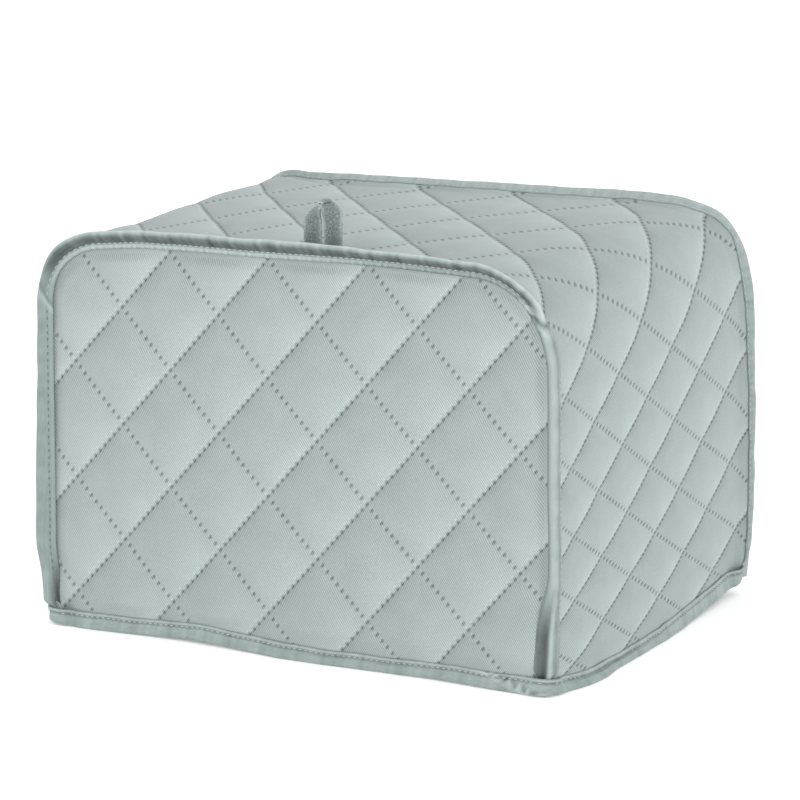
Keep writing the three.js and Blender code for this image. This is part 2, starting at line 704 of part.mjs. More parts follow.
function makeLoop() {
  const piece = new Piece();
  const { limb, top } = loopPath();
  const half = { width: LOOP_TAPE.width / 2, thickness: LOOP_TAPE.thickness / 2 };
  const section = (centre, across, through) => [[-1, -1], [1, -1], [1, 1], [-1, 1]].map(([a, b]) => (
    centre.map((value, i) => value + a * half.width * across[i] + b * half.thickness * through[i])));
  const limbSection = (sign) => ({ aside, y, z, twist, pitch }) => {
    const [turn, tip] = [radians(twist), radians(pitch)];
    const across = [-sign * Math.cos(turn), -Math.sin(turn), 0];
    const through = [
      sign * Math.sin(turn) * Math.cos(tip),
      -Math.cos(turn) * Math.cos(tip),
      Math.sin(tip),
    ];
    return section([LOOP_X + sign * aside, y, z], across, through);
  };
  const stations = limb.map(limbSection(-1));
  const bendSteps = 6;
  for (let i = 1; i < bendSteps; i += 1) {
    const turn = Math.PI * (1 - i / bendSteps);
    const [c, s] = [Math.cos(turn), Math.sin(turn)];
    stations.push(section([LOOP_X + LOOP_BEND * c, LOOP_Y, top + LOOP_BEND * s], [0, -1, 0], [-c, 0, -s]));
  }
  stations.push(...limb.map(limbSection(1)).reverse());
  const rings = sweep(piece, stations, false);
  const [first, last] = [rings[0], rings[rings.length - 1]];
  piece.quad(first[0], first[1], first[2], first[3]);
  piece.quad(last[3], last[2], last[1], last[0]);
  return piece;
}

const quiltedCloth = new THREE.MeshStandardMaterial({ color: 0xb4c2bf, roughness: 0.82, metalness: 0 });
const satinTape = new THREE.MeshStandardMaterial({ color: 0x93a5a1, roughness: 0.5, metalness: 0 });
const loopTape = new THREE.MeshStandardMaterial({ color: 0x8a9d98, roughness: 0.7, metalness: 0 });

const cover = new THREE.Group();
cover.add(makePanel(FRONT, PANEL_STITCH).mesh('front_panel', quiltedCloth));
cover.add(makePanel(BACK, BACK_STITCH).mesh('back_panel', quiltedCloth));
cover.add(makeGusset().mesh('gusset', quiltedCloth));
cover.add(makeSeamBinding(FRONT).mesh('front_binding', satinTape));
cover.add(makeSeamBinding(BACK).mesh('back_binding', satinTape));
cover.add(makeHemBinding().mesh('hem_binding', satinTape));
cover.add(makeLoop().mesh('hanging_loop', loopTape));

export default cover;
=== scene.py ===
"""The looks of the quilted toaster cover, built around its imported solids.

Lengths in this file are millimetres in the solids' frame until put_mesh turns them to metres.
"""

import bpy
import numpy as np
from mathutils import Matrix, Vector


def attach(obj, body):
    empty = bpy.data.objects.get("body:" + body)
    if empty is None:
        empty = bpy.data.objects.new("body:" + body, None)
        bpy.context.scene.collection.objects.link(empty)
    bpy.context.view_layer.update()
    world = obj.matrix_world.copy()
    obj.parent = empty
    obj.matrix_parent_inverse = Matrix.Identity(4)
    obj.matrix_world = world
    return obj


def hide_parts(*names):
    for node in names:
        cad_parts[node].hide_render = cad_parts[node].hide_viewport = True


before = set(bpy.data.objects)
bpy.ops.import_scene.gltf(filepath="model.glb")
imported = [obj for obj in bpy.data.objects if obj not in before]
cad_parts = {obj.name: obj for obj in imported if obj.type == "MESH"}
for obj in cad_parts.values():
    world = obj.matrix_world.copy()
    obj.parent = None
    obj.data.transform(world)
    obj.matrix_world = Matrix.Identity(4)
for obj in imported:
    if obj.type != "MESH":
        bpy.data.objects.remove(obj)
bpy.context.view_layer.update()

MM = 0.001
PI = np.pi

# Size over the bindings, as in the part's source
WIDTH, DEPTH, CORNER_HEIGHT = 292.0, 222.0, 203.0

# The stitched line round each panel: half its width, its height, the radii of its upper corners, where
# it lies from front to back and which way its panel faces. By length along the line, wander says how
# far the sewing strays outwards, and lean how many degrees the seam's flange leans ahead.
FRONT = {"half": 135.56, "height": 192.56, "left": 25.56, "right": 37.56, "y": -103.5, "facing": -1,
         "wander": [(0, 0.0), (12, 0.4), (24, -0.1), (40, 1.3), (165, 1.0), (197, -0.6), (230, 0.7),
                    (296, -0.2), (378, 1.2), (430, 1.5), (462, -0.4), (490, 0.0), (525, 0.2), (557, 0.9),
                    (590, 0.3), (625, 0.0)],
         "lean": [(0, 32), (165, 32), (210, 36), (430, 36), (475, 55), (625, 55)]}
BACK = {"half": 138.53, "height": 195.53, "left": 20.53, "right": 40.53, "y": 100.56, "facing": 1,
        "wander": [(0, 0.0), (150, 0.0), (190, -2.0), (215, -2.9), (243, -1.5), (272, -0.6), (330, 0.3),
                   (400, 0.5), (431, -1.0), (448, 0.6), (478, -1.4), (500, 0.2), (560, 1.3), (638, 1.4)],
        "lean": [(0, 50), (430, 48), (500, 45), (638, 45)]}
CLOTH = 2.4  # thickness of the quilted cloth at a stitch
HEM_LINE = 2.4  # height of the cloth's raw foot inside the hem tape
HEM_HEIGHT = 8.6  # height at which the cloth comes out of the hem tape
TAPE_BOTTOM = 4.0  # height of the seam tapes' lower ends
ALLOWANCE = 3.2  # how far a panel goes on past its seam, into the tape
ALLOWANCE_TURN = 0.55  # how far it turns forwards for each millimetre of that


# Shape of the standing cover

def mix(a, b, t):
    """From a to b as t goes from 0 to 1."""
    return a + (b - a) * t


def smooth(t):
    """From 0 to 1 with level ends: three t squared less two t cubed."""
    t = np.clip(t, 0, 1)
    return t * t * (3 - 2 * t)


def bump(x, centre, width):
    """A soft bell: 1 at the centre, e to the minus 1 at one width from it."""
    return np.exp(-(((x - centre) / width) ** 2))


def waves(x, seed, lengths):
    """Uneven hand-made wave: the sum of sines of the given lengths, each with its own phase."""
    phases = np.random.default_rng(seed).uniform(0, 2 * PI, len(lengths))
    return sum(np.sin(2 * PI * x / length + phase) for length, phase in zip(lengths, phases)) / len(lengths)


def settle(p):
    """The soft stance: the top arches and tilts in proportion to height, the sides tuck in above the
    hem and bow out halfway back, the panels belly, the foot strays aside and ahead in soft bumps, and
    the hem lifts at the back right corner."""
    x, y, z = p[..., 0], p[..., 1], p[..., 2]
    across, along = x / (WIDTH / 2), y / (DEPTH / 2)
    back, up = (along + 1) / 2, np.clip(z / CORNER_HEIGHT, 0, 1)
    arch = mix(5.5, -2.4, back) * (1 - across**2) + mix(2.6, 3.2, back) * across
    tuck = np.where(across < 0, 2.6, 1.4) * np.clip(1 - z / 40, 0, 1) ** 1.5
    bow = np.where(across < 0, 2.0, 3.0) * (1 - along**2) * np.clip(1 - z / 90, 0, 1)
    belly = mix(1.6, 2.2, back) * (1 - across**2) * np.sin(PI * up) * along
    lift = 7 * np.clip(along, 0, 1) ** 2 * np.clip(across, 0, 1) ** 2 * (1 - up)
    foot = np.clip(1 - z / 60, 0, 1) ** 2
    aside = 5 * bump(y, -78, 22) + 2 * bump(y, -38, 40) - 1.6 * smooth((y - 20) / 30)
    ahead = 1.9 + 2.2 * bump(x, 2, 28) + 2.0 * bump(x, -118, 20)
    ahead = ahead - 1.9 * bump(x, -62, 25) - 1.3 * bump(x, 75, 25)
    x = x + (bow - tuck) * across + foot * aside * np.clip(across, 0, 1) ** 4
    y = y + belly - foot * ahead * np.clip(-along, 0, 1) ** 6
    return np.stack([x, y, z + arch * up + lift], -1)


def seam_lengths(seam):
    """Running length at the ends of a seam's five stretches: side, corner, top, corner, side."""
    left, right = seam["left"], seam["right"]
    steps = [
        seam["height"] - left - HEM_LINE,
        PI / 2 * left,
        2 * seam["half"] - left - right,
        PI / 2 * right,
        seam["height"] - right - HEM_LINE,
    ]
    return np.concatenate([[0], np.cumsum(steps)])


def seam_at(seam, place):
    """Point and outward direction of a seam. Place counts its stretches: 0 to 1 is the left side,
    1 to 2 the left corner's quarter circle, 2 to 3 the top, 3 to 4 the right corner, 4 to 5 the side."""
    half, top, left, right = seam["half"], seam["height"], seam["left"], seam["right"]
    f = [np.clip(place - k, 0, 1) for k in range(5)]
    turn = np.where(place < 2, PI - PI / 2 * f[1], PI / 2 * (1 - f[3]))
    radius = np.where(place < 2, left, right)
    centre = np.where(place < 2, left - half, mix(left - half, half - right, f[2]))
    x = centre + radius * np.cos(turn) * ((place < 2) | (place > 3))
    z = top - radius + radius * np.sin(turn)
    z = z - (1 - f[0]) * (top - left - HEM_LINE) - f[4] * (top - right - HEM_LINE)
    return x, z, np.cos(turn), np.sin(turn)


def place_of(seam, length):
    """The count of stretches at a length along the seam."""
    return np.interp(length, seam_lengths(seam), np.arange(6))


def wander(seam, length):
    """How far the sewn line strays outwards from its true curve, by length along the seam."""
    stops, strays = np.array(seam["wander"]).T
    after = np.clip(np.searchsorted(stops, length, side="right"), 1, len(stops) - 1)
    share = (length - stops[after - 1]) / (stops[after] - stops[after - 1])
    return mix(strays[after - 1], strays[after], smooth(share))


def sewn_seam(seam, length):
    """The seam as sewn: its true curve moved outwards by the wander."""
    x, z, out_x, out_z = seam_at(seam, place_of(seam, length))
    stray = wander(seam, length)
    return x + stray * out_x, z + stray * out_z, out_x, out_z


# Meshes from grids

SPAN_POINTS = 3


def put_object(name, data):
    """A new object in the scene, at the origin."""
    piece = bpy.data.objects.new(name, data)
    bpy.context.scene.collection.objects.link(piece)
    return piece


def put_mesh(name, points, faces, attributes, material, replaced=()):
    """Makes one piece from points in millimetres and lists of faces, smooth shaded."""
    mesh = bpy.data.meshes.new(name)
    mesh.from_pydata((points * MM).tolist(), [], faces)
    mesh.polygons.foreach_set("use_smooth", [True] * len(mesh.polygons))
    for key, values in attributes.items():
        layer = mesh.attributes.new(key, "FLOAT_VECTOR", "POINT")
        layer.data.foreach_set("vector", np.ascontiguousarray(values, np.float32).ravel())
    mesh.materials.append(material)
    mesh.update()
    piece = put_object(name, mesh)
    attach(piece, "root")
    if replaced:
        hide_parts(*replaced)
    return piece


def grid_faces(rows, columns, first=0, turned=False):
    """Quads of a grid of points that is stored row by row."""
    i, j = np.meshgrid(np.arange(rows - 1), np.arange(columns - 1), indexing="ij")
    a = first + i * columns + j
    quads = np.stack([a, a + 1, a + columns + 1, a + columns], -1).reshape(-1, 4)
    return quads[:, ::-1] if turned else quads


def border_of(rows, columns, first=0):
    """Indices round the edge of a grid, in one turn."""
    index = first + np.arange(rows * columns).reshape(rows, columns)
    return np.concatenate([index[0, :-1], index[:-1, -1], index[-1, :0:-1], index[:0:-1, 0]])


def closed_sheet(outer, inner, turned):
    """A sheet with thickness: an outer grid, an inner grid of the same size and a strip round them."""
    rows, columns = outer.shape[:2]
    count = rows * columns
    points = np.concatenate([outer.reshape(-1, 3), inner.reshape(-1, 3)])
    upper, lower = border_of(rows, columns), border_of(rows, columns, count)
    strip = np.stack([np.roll(upper, -1), upper, lower, np.roll(lower, -1)], -1)
    quads = [grid_faces(rows, columns, 0, turned), grid_faces(rows, columns, count, not turned),
             strip[:, ::-1] if turned else strip]
    return points, np.concatenate(quads).tolist()


def spans_through(p0, p1, p2, p3):
    """Catmull-Rom curves from each p1 to its p2, the cubic whose slopes there are half of p2 less p0
    and half of p3 less p1, with SPAN_POINTS points on each span."""
    t = (np.arange(SPAN_POINTS) / SPAN_POINTS)[:, None, None, None]
    curve = 0.5 * (2 * p1 + (p2 - p0) * t + (2 * p0 - 5 * p1 + 4 * p2 - p3) * t**2
                   + (3 * p1 - p0 - 3 * p2 + p3) * t**3)
    return np.moveaxis(curve, 0, 2).reshape(p1.shape[0], -1, p1.shape[2])


def closed_curve(controls):
    """Closed curves through each station's control points."""
    return spans_through(*(np.roll(controls, back, 1) for back in (1, 0, -1, -2)))


def open_curve(controls):
    """Curves through each station's control points, from the first to the last."""
    first = 2 * controls[:, :1] - controls[:, 1:2]
    last = 2 * controls[:, -1:] - controls[:, -2:-1]
    p = np.concatenate([first, controls, last], 1)
    return np.concatenate([spans_through(p[:, :-3], p[:, 1:-2], p[:, 2:-1], p[:, 3:]), controls[:, -1:]], 1)


def tube(rings, closed, turned=False):
    """Skins rings of points that follow each other along a path; an open run is capped flat."""
    stations, sides = rings.shape[:2]
    i, j = np.meshgrid(np.arange(stations if closed else stations - 1), np.arange(sides), indexing="ij")
    ahead, beside = (i + 1) % stations, (j + 1) % sides
    quads = np.stack([i * sides + j, i * sides + beside, ahead * sides + beside, ahead * sides + j], -1)
    quads = quads.reshape(-1, 4)
    faces = (quads[:, ::-1] if turned else quads).tolist()
    if not closed:
        first, last = list(range(sides)), list(range((stations - 1) * sides, stations * sides))
        faces += [first, last[::-1]] if turned else [first[::-1], last]
    return rings.reshape(-1, 3), faces


def put_quilted(name, node, faces_of, lattice, cloth, material, turned):
    """Makes a quilted sheet from its outer and inner face. Lattice holds the row number of both
    families of stitch lines and the distance from the edge, and cloth the place in the flat cloth."""
    points, faces = closed_sheet(*(settle(face) for face in faces_of), turned)
    cloth = [cloth[0] * MM, cloth[1] * MM, np.zeros_like(lattice[0])]
    looks = {key: np.tile(np.stack(values, -1).reshape(-1, 3), (2, 1))
             for key, values in (("quilt", lattice), ("cloth", cloth))}
    return put_mesh(name, points, faces, looks, material, [node])


def put_tape(name, node, rings, painted_light_and_mottle, along, around, material, closed=False, turned=False):
    """Makes a tape from its rings, with its painted light and shade (mottled at random in places) and the
    lengths along and around it.
    """
    looks = np.stack(np.broadcast_arrays(painted_light_and_mottle, along, around), -1).reshape(-1, 3)
    points, faces = tube(rings, closed, turned)
    return put_mesh(name, points, faces, {"painted_light_and_mottle": looks}, material, [node])


# Materials

CLOTH_COLOUR = "#9ba5a4"
TAPE_COLOUR = "#859390"
LOOP_COLOUR = "#7c8a87"
THREAD_COLOUR = "#b4bbb9"
# Thread darkened as painted shade, for the stitches that lie in shade on the pressed-flat left tape
SHADED_THREAD_COLOUR = "#66726f"

# Painted shade and highlight across one row of diamonds, from just past a deep line to just before the next:
# the pillows' light and shade, painted into the colour
PAINTED_PILLOW_SHADE = [(0.0, 0.084), (0.05, 0.227), (0.1, 0.30), (0.2, 0.374), (0.3, 0.424), (0.4, 0.448), (0.5, 0.5),
       (0.62, 0.578), (0.72, 0.632), (0.82, 0.71), (0.9, 0.79), (0.96, 0.847), (1.0, 0.84)]
PAINTED_PILLOW_SHADE_STRENGTH = 0.6
STITCHES_PER_DIAMOND = 10

# The real twill has a rib every half millimetre. It is drawn coarser, so that it shows in a render.
RIB_MM = 1.05


def linear(hex_colour):
    """sRGB hex to linear red, green, blue and alpha 1."""
    srgb = np.array([int(hex_colour[i:i + 2], 16) for i in (1, 3, 5)]) / 255
    low, high = srgb / 12.92, ((srgb + 0.055) / 1.055) ** 2.4
    return (*np.where(srgb <= 0.04045, low, high).tolist(), 1.0)


def add(tree, kind, links=None, **settings):
    """Adds one node: settings are its properties, and links its inputs, each a value or a socket."""
    node = tree.nodes.new(kind)
    for key, value in settings.items():
        setattr(node, key, value)
    for key, value in (links or {}).items():
        if isinstance(value, bpy.types.NodeSocket):
            tree.links.new(value, node.inputs[key])
        else:
            node.inputs[key].default_value = value
    return node


def sums(tree):
    """Short words for arithmetic between sockets or numbers."""
    def word(operation):
        def apply(*values, clamp=False):
            links = dict(enumerate(values))
            return add(tree, "ShaderNodeMath", links, operation=operation, use_clamp=clamp).outputs[0]
        return apply
    names = {"plus": "ADD", "minus": "SUBTRACT", "times": "MULTIPLY", "sine": "SINE", "part": "FRACT",
             "least": "MINIMUM", "most": "MAXIMUM", "size": "ABSOLUTE", "root": "SQRT", "power": "POWER",
             "over": "DIVIDE"}
    return {name: word(operation) for name, operation in names.items()}


def curve_of(tree, value, stops):
    """A grey ramp over a value from 0 to 1, as (place, height) stops."""
    node = add(tree, "ShaderNodeValToRGB", {0: value})
    ramp = node.color_ramp
    ramp.interpolation = "LINEAR"
    while len(ramp.elements) < len(stops):
        ramp.elements.new(0.5)
    for element, (place, height) in zip(ramp.elements, stops):
        element.position = place
        element.color = (height, height, height, 1)
    return add(tree, "ShaderNodeSeparateColor", {0: node.outputs[0]}).outputs[0]


def shaded(tree, hex_colour, shade):
    """One colour, lighter or darker by the shade."""
    links = {0: linear(hex_colour)[:3], "Scale": shade}
    return add(tree, "ShaderNodeVectorMath", links, operation="SCALE").outputs[0]


def finish_cloth(tree, colour, height, bump_mm, roughness, sheen, specular=0.25):
    """Joins a material's colour and relief to its shader and sets the shader's own values."""
    bsdf = tree.nodes["Principled BSDF"]
    relief = add(tree, "ShaderNodeBump", {"Height": height, "Strength": 1.0, "Distance": bump_mm * MM})
    tree.links.new(relief.outputs[0], bsdf.inputs["Normal"])
    tree.links.new(colour, bsdf.inputs["Base Color"])
    for key, value in (("Roughness", roughness), ("Sheen Weight", sheen), ("Sheen Roughness", 0.4),
                       ("Specular IOR Level", specular)):
        bsdf.inputs[key].default_value = value


def new_material(name):
    """A material with its node tree."""
    material = bpy.data.materials.new(name)
    material.use_nodes = True
    return material, material.node_tree


def quilted_twill(name, main_mm, cross_mm, rib_turn, rib_shade):
    """Brushed polyester twill over thin wadding, quilted in diamonds. The quilt attribute holds the
    stitch lattice: its first number steps at each deep line and rises down to the right, its second
    steps at each dotted line, and its third is the distance from the piece's edge in millimetres.
    On the pale cloth, painted shade falls just past each deep line and turns to a painted highlight just
    before the next; the needle holes, every 4 mm or less, are painted shade with a painted highlight at one
    side, and the cloth is darkened as painted shade near its edge. The twill has fine slanting ribs. Main_mm
    and cross_mm are the real widths of a row of diamonds across each family of lines, and rib_turn is the
    direction across the ribs."""
    material, tree = new_material(name)
    s = sums(tree)
    plus, minus, times, part = s["plus"], s["minus"], s["times"], s["part"]
    quilt = add(tree, "ShaderNodeAttribute", attribute_name="quilt").outputs["Vector"]
    cloth = add(tree, "ShaderNodeAttribute", attribute_name="cloth").outputs["Vector"]
    main, cross, edge = add(tree, "ShaderNodeSeparateXYZ", {0: quilt}).outputs
    u, v, _ = add(tree, "ShaderNodeSeparateXYZ", {0: cloth}).outputs

    # Painted shade and highlight on the pillows: darkest just past a deep line, lightest just before the
    # next, strongest between crossings
    painted_pillow_shade = curve_of(tree, part(main), PAINTED_PILLOW_SHADE)
    middle = s["sine"](times(part(cross), PI))
    painted_pillow_shade = times(minus(painted_pillow_shade, 0.5), plus(0.45, times(middle, 0.55)))

    # Needle holes on both families of lines, the same number between crossings
    def off(rows, width, count=1):
        """Millimetres from the nearest stitch line, or from the nearest of count stitches on it."""
        return times(minus(part(plus(times(rows, count), 0.5)), 0.5), width / count)

    (off_main, step_main), (off_cross, step_cross) = (
        (off(rows, width), off(rows, width, STITCHES_PER_DIAMOND))
        for rows, width in ((main, main_mm), (cross, cross_mm)))

    def spot(a, b, radius, soft):
        """1 inside a round spot of the given radius in millimetres, fading over the soft width."""
        reach = s["root"](plus(s["power"](a, 2), s["power"](b, 2)))
        return s["over"](minus(radius, reach), soft, clamp=True)

    # The holes darken the colour as painted shade and also sink the bump; the rim is a painted highlight at
    # one side of each hole, and the line a faint painted shade along each deep line
    deep = spot(off_main, step_cross, 1.3, 0.9)
    dotted = spot(times(off_cross, 0.72), times(step_main, 1.2), 1.2, 0.8)
    holes = s["most"](times(deep, 0.9), dotted)
    rim = plus(spot(off_cross, plus(step_main, 1.5), 1.1, 0.8),
               spot(plus(off_main, 1.7), step_cross, 1.1, 0.8))
    line = minus(1, s["over"](s["size"](off_main), 1.4), clamp=True)

    # Twill ribs and the cloth's fine mottling
    across_ribs = plus(times(u, rib_turn[0]), times(v, rib_turn[1]))
    rib = s["sine"](times(across_ribs, 2 * PI / (RIB_MM * MM)))
    fibres = add(tree, "ShaderNodeTexNoise", {"Vector": cloth, "Scale": 900.0, "Detail": 3.0}).outputs[0]
    clouds = add(tree, "ShaderNodeTexNoise", {"Vector": cloth, "Scale": 75.0, "Detail": 2.0}).outputs[0]
    # Painted light in the colour: the pillow shade and highlight, painted shade in the needle holes and along
    # the deep lines, and a painted highlight beside each hole; ribs, fibres and clouds are the cloth's own
    # weave and random mottling
    shade = plus(1, times(painted_pillow_shade, PAINTED_PILLOW_SHADE_STRENGTH))
    for look, weight in ((times(rib, plus(0.1, fibres)), rib_shade), (minus(fibres, 0.5), 0.2),
                         (minus(clouds, 0.5), 0.16), (holes, -0.46), (line, -0.07), (rim, 0.14)):
        shade = plus(shade, times(look, weight))
    # Painted shade on the cloth just inside its edge by the tape
    painted_edge_shade = curve_of(tree, times(edge, 0.1, clamp=True), [(0, 0.8), (0.1, 0.88), (0.22, 0.96), (0.4, 1)])
    shade = times(shade, painted_edge_shade)
    height = plus(minus(times(rib, 0.05), times(holes, 0.8)), times(fibres, 0.12))
    finish_cloth(tree, shaded(tree, CLOTH_COLOUR, shade), height, 0.5, 0.85, 0.12)
    return material


def satin_tape(name, hex_colour, streak_mm, grain):
    """Folded polyester satin binding. Painted shade darkens the hollows of the pressed fold and painted
    highlights lighten the turned edges, carried with some random mottling in the tape's attribute; fine
    threads run along the tape and it is softly glossy.
    The real threads are a fifth of a millimetre apart and are drawn about twice as coarse."""
    material, tree = new_material(name)
    s = sums(tree)
    plus, minus, times = s["plus"], s["minus"], s["times"]
    painted_light_and_mottle, along, around = add(tree, "ShaderNodeSeparateXYZ", {
        0: add(tree, "ShaderNodeAttribute", attribute_name="painted_light_and_mottle").outputs["Vector"]}).outputs

    def noise(per_mm_along, per_mm_around, layer, detail):
        place = {0: times(along, per_mm_along), 1: times(around, per_mm_around), 2: layer}
        place = add(tree, "ShaderNodeCombineXYZ", place).outputs[0]
        return add(tree, "ShaderNodeTexNoise", {"Vector": place, "Scale": 1.0, "Detail": detail}).outputs[0]

    streaks = noise(1 / streak_mm, 1 / 1.4, 0.0, 4.0)
    threads = noise(0.25, 2.6, 0.0, 2.0)
    knots = noise(1.1, 1.1, 3.0, 1.0)
    # The attribute's first number is painted light: painted shade in the fold's hollows and painted
    # highlights on its turned edges, with random mottling; streaks, threads and knots are the satin's own
    # grain
    shade = painted_light_and_mottle
    for look, weight in ((streaks, 0.36), (threads, 0.22), (knots, grain)):
        shade = plus(shade, times(minus(look, 0.5), weight))
    body = shaded(tree, hex_colour, s["least"](shade, 1.0))
    # Above 1 the colour is lifted towards grey-white: a painted highlight
    painted_highlight = times(s["most"](minus(shade, 1), 0), 0.27)
    colour = add(tree, "ShaderNodeVectorMath", {0: body, 1: painted_highlight}, operation="ADD")
    height = plus(times(streaks, 0.5), times(threads, 0.35))
    finish_cloth(tree, colour.outputs[0], height, 0.35, 0.5, 0.1, 0.4)
    return material


def sewing_thread(name, hex_colour):
    """Spun polyester thread: matte, with a fine uneven twist."""
    material, tree = new_material(name)
    coordinates = add(tree, "ShaderNodeTexCoord").outputs["Object"]
    twist = add(tree, "ShaderNodeTexNoise", {"Vector": coordinates, "Scale": 2500.0}).outputs[0]
    shade = sums(tree)["plus"](0.9, sums(tree)["times"](twist, 0.2))
    finish_cloth(tree, shaded(tree, hex_colour, shade), twist, 0.1, 0.7, 0.2)
    return material


panel_cloth = quilted_twill("quilted polyester twill, panels", 39.4, 41.2, (0.85, 0.526), 0.36)
gusset_cloth = quilted_twill("quilted polyester twill, gusset", 33.0, 28.0, (0.765, 0.644), 0.26)
seam_satin = satin_tape("folded polyester satin tape", TAPE_COLOUR, 9.0, 0.2)
hem_satin = satin_tape("folded polyester satin hem tape", TAPE_COLOUR, 7.0, 0.3)
loop_satin = satin_tape("folded grosgrain loop tape", LOOP_COLOUR, 1.3, 1.5)
thread = sewing_thread("spun polyester sewing thread", THREAD_COLOUR)
thread_in_painted_shade = sewing_thread("spun polyester thread darkened as painted shade", SHADED_THREAD_COLOUR)


# Quilted panels

def pillow(main, cross):
    """Quilting: nothing on the stitch lines, 1 in the middle of a diamond, steep beside the lines."""
    return np.abs(np.sin(PI * main) * np.sin(PI * cross)) ** 0.5


PANEL_GRID = (174, 242)


def panel_grid(seam, rows, columns):
    """Places in a panel's plane. The four sides of the D, which meet halfway round its two corners,
    are spread over the panel as a Coons patch: blend left to right plus blend foot to top, less the
    blend of the four corners."""
    lengths = seam_lengths(seam)
    left_mid, right_mid = (lengths[1] + lengths[2]) / 2, (lengths[3] + lengths[4]) / 2
    a, b = np.linspace(0, 1, columns), np.linspace(0, 1, rows)

    def along(start, end, t):
        x, z, out_x, out_z = seam_at(seam, place_of(seam, mix(start, end, t)))
        return np.stack([x + ALLOWANCE * out_x, z + ALLOWANCE * out_z], -1)

    left, right = along(0, left_mid, b)[:, None], along(lengths[5], right_mid, b)[:, None]
    top = along(left_mid, right_mid, a)[None]
    reach = seam["half"] + ALLOWANCE
    foot = np.stack([mix(-reach, reach, a), np.full(columns, HEM_LINE)], -1)[None]
    a, b = a[None, :, None], b[:, None, None]
    corners = mix(mix(foot[:, :1], foot[:, -1:], a), mix(top[:, :1], top[:, -1:], a), b)
    return mix(left, right, a) + mix(foot, top, b) - corners


def seam_near(seam, x, z):
    """Distance inside the D's seam, and the length along the seam of the nearest place on it: of the
    left side, the top or the right side, or of the quarter circle in a rounded corner."""
    half, top, lengths = seam["half"], seam["height"], seam_lengths(seam)
    sides = np.stack([half + x, top - z, half - x])
    spots = np.stack([z - HEM_LINE, lengths[2] + x + half - seam["left"],
                      lengths[4] + top - seam["right"] - z])
    nearest = np.argmin(sides, 0)[None]
    depth = np.take_along_axis(sides, nearest, 0)[0]
    spot = np.take_along_axis(spots, nearest, 0)[0]
    for side, start, sign in (("left", lengths[1], -1), ("right", lengths[3], 1)):
        radius = seam[side]
        dx, dz = sign * x - half + radius, z - top + radius
        corner = (dx > 0) & (dz > 0)
        turn = np.arctan2(dz, dx)
        swept = turn if side == "left" else PI / 2 - turn
        depth = np.where(corner, radius - np.hypot(dx, dz), depth)
        spot = np.where(corner, start + radius * swept, spot)
    return depth, np.clip(spot, 0, lengths[-1])


def make_panel(name, node, seam, at, rising, falling):
    """Outer face: the seam's plane plus the cloth, the pillows and slight unevenness, fading at the
    seam and the hem, and turned outwards and forwards past the seam, into the folded tape. Inner
    face: the same plane less a shallower pillow. At is a crossing of the stitch lines, as seen from
    outside, and rising and falling are the steps from it to the next ones up and down to the right."""
    rows, columns = PANEL_GRID
    facing = seam["facing"]
    place = panel_grid(seam, rows, columns)
    x, z = place[..., 0], place[..., 1]
    depth, spot = seam_near(seam, x, z)
    _, _, out_x, out_z = seam_at(seam, place_of(seam, spot))
    stray = wander(seam, spot) * (1 - smooth(depth / 35))
    x, z = x + stray * out_x, z + stray * out_z
    past = np.maximum(-depth, 0)
    fade = smooth((depth + 0.5) / 6) * smooth((z - HEM_HEIGHT + 1.5) / 9)
    flat = settle(np.stack([x, np.full_like(x, seam["y"] + facing * CLOTH), z], -1))
    seen, high = -facing * flat[..., 0], flat[..., 2]
    lattice = np.linalg.inv(np.column_stack([rising, falling]))
    sag = 2.6 * (1 - (x / (WIDTH / 2)) ** 2) - 1.4
    offset = np.stack([seen - at[0], high + sag - at[1]], -1) @ lattice.T
    cross, main = offset[..., 0], offset[..., 1]
    uneven = 0.5 * waves(seen + 0.4 * z, 3, (61, 43, 97)) * waves(z - 0.2 * seen, 4, (53, 88, 71))
    puff = fade * (2.4 * pillow(main, cross) + uneven)
    tucked = 0.3 * (1 - smooth(depth / 3.0))
    turned = ALLOWANCE_TURN * past
    outer = np.stack([x, seam["y"] + facing * (CLOTH - tucked + puff + turned), z], -1)
    inner = np.stack([x, seam["y"] + facing * (0.2 * (past > 0) + turned - 0.3 * puff), z], -1)
    edge = np.clip(depth + 2.2, 0, 60)
    return put_quilted(name, node, (outer, inner), (main, cross, edge), (seen, high), panel_cloth, facing > 0)


front_panel = make_panel("quilted_front", "front_panel", FRONT, (-97.6, 166.5), (27.57, 30.86),
                         (27.58, -28.36))
back_panel = make_panel("quilted_back", "back_panel", BACK, (-88, 151), (27.4, 29.4), (27.4, -29.4))


# Quilted gusset

FRONT_LENGTHS, BACK_LENGTHS = seam_lengths(FRONT), seam_lengths(BACK)
STRIP_LENGTHS = (FRONT_LENGTHS + BACK_LENGTHS) / 2
STRIP = STRIP_LENGTHS[-1]
DOME = 2.5
LOOP_X, LOOP_Y = 10.5, -95.0

# Points along the strip, and rows of points across it: in the front flange, the strip and the back one
GUSSET_COLUMNS = 350
FLANGE_ROWS, STRIP_ROWS, FLARE_ROWS = 5, 113, 8


def at_seams(value, u):
    """A value that is worked out from a seam and a length on it, for the front and the back seam at
    the places u along the strip."""
    place = np.interp(u, STRIP_LENGTHS, np.arange(6))
    return [value(seam, np.interp(place, np.arange(6), lengths))
            for seam, lengths in ((FRONT, FRONT_LENGTHS), (BACK, BACK_LENGTHS))]


def gusset_at(u, v, away):
    """A point of the gusset: the two sewn seams at the same place are joined by a straight line, domed
    by a half sine from front to back, and moved outwards by the given distance."""
    t = np.clip((v - FRONT["y"]) / (BACK["y"] - FRONT["y"]), 0, 1)
    x, z, out_x, out_z = (mix(front, back, t) for front, back in zip(*at_seams(sewn_seam, u)))
    away = (away + DOME * np.sin(PI * t)) / np.hypot(out_x, out_z)
    return np.stack([x + out_x * away, v, z + out_z * away], -1)


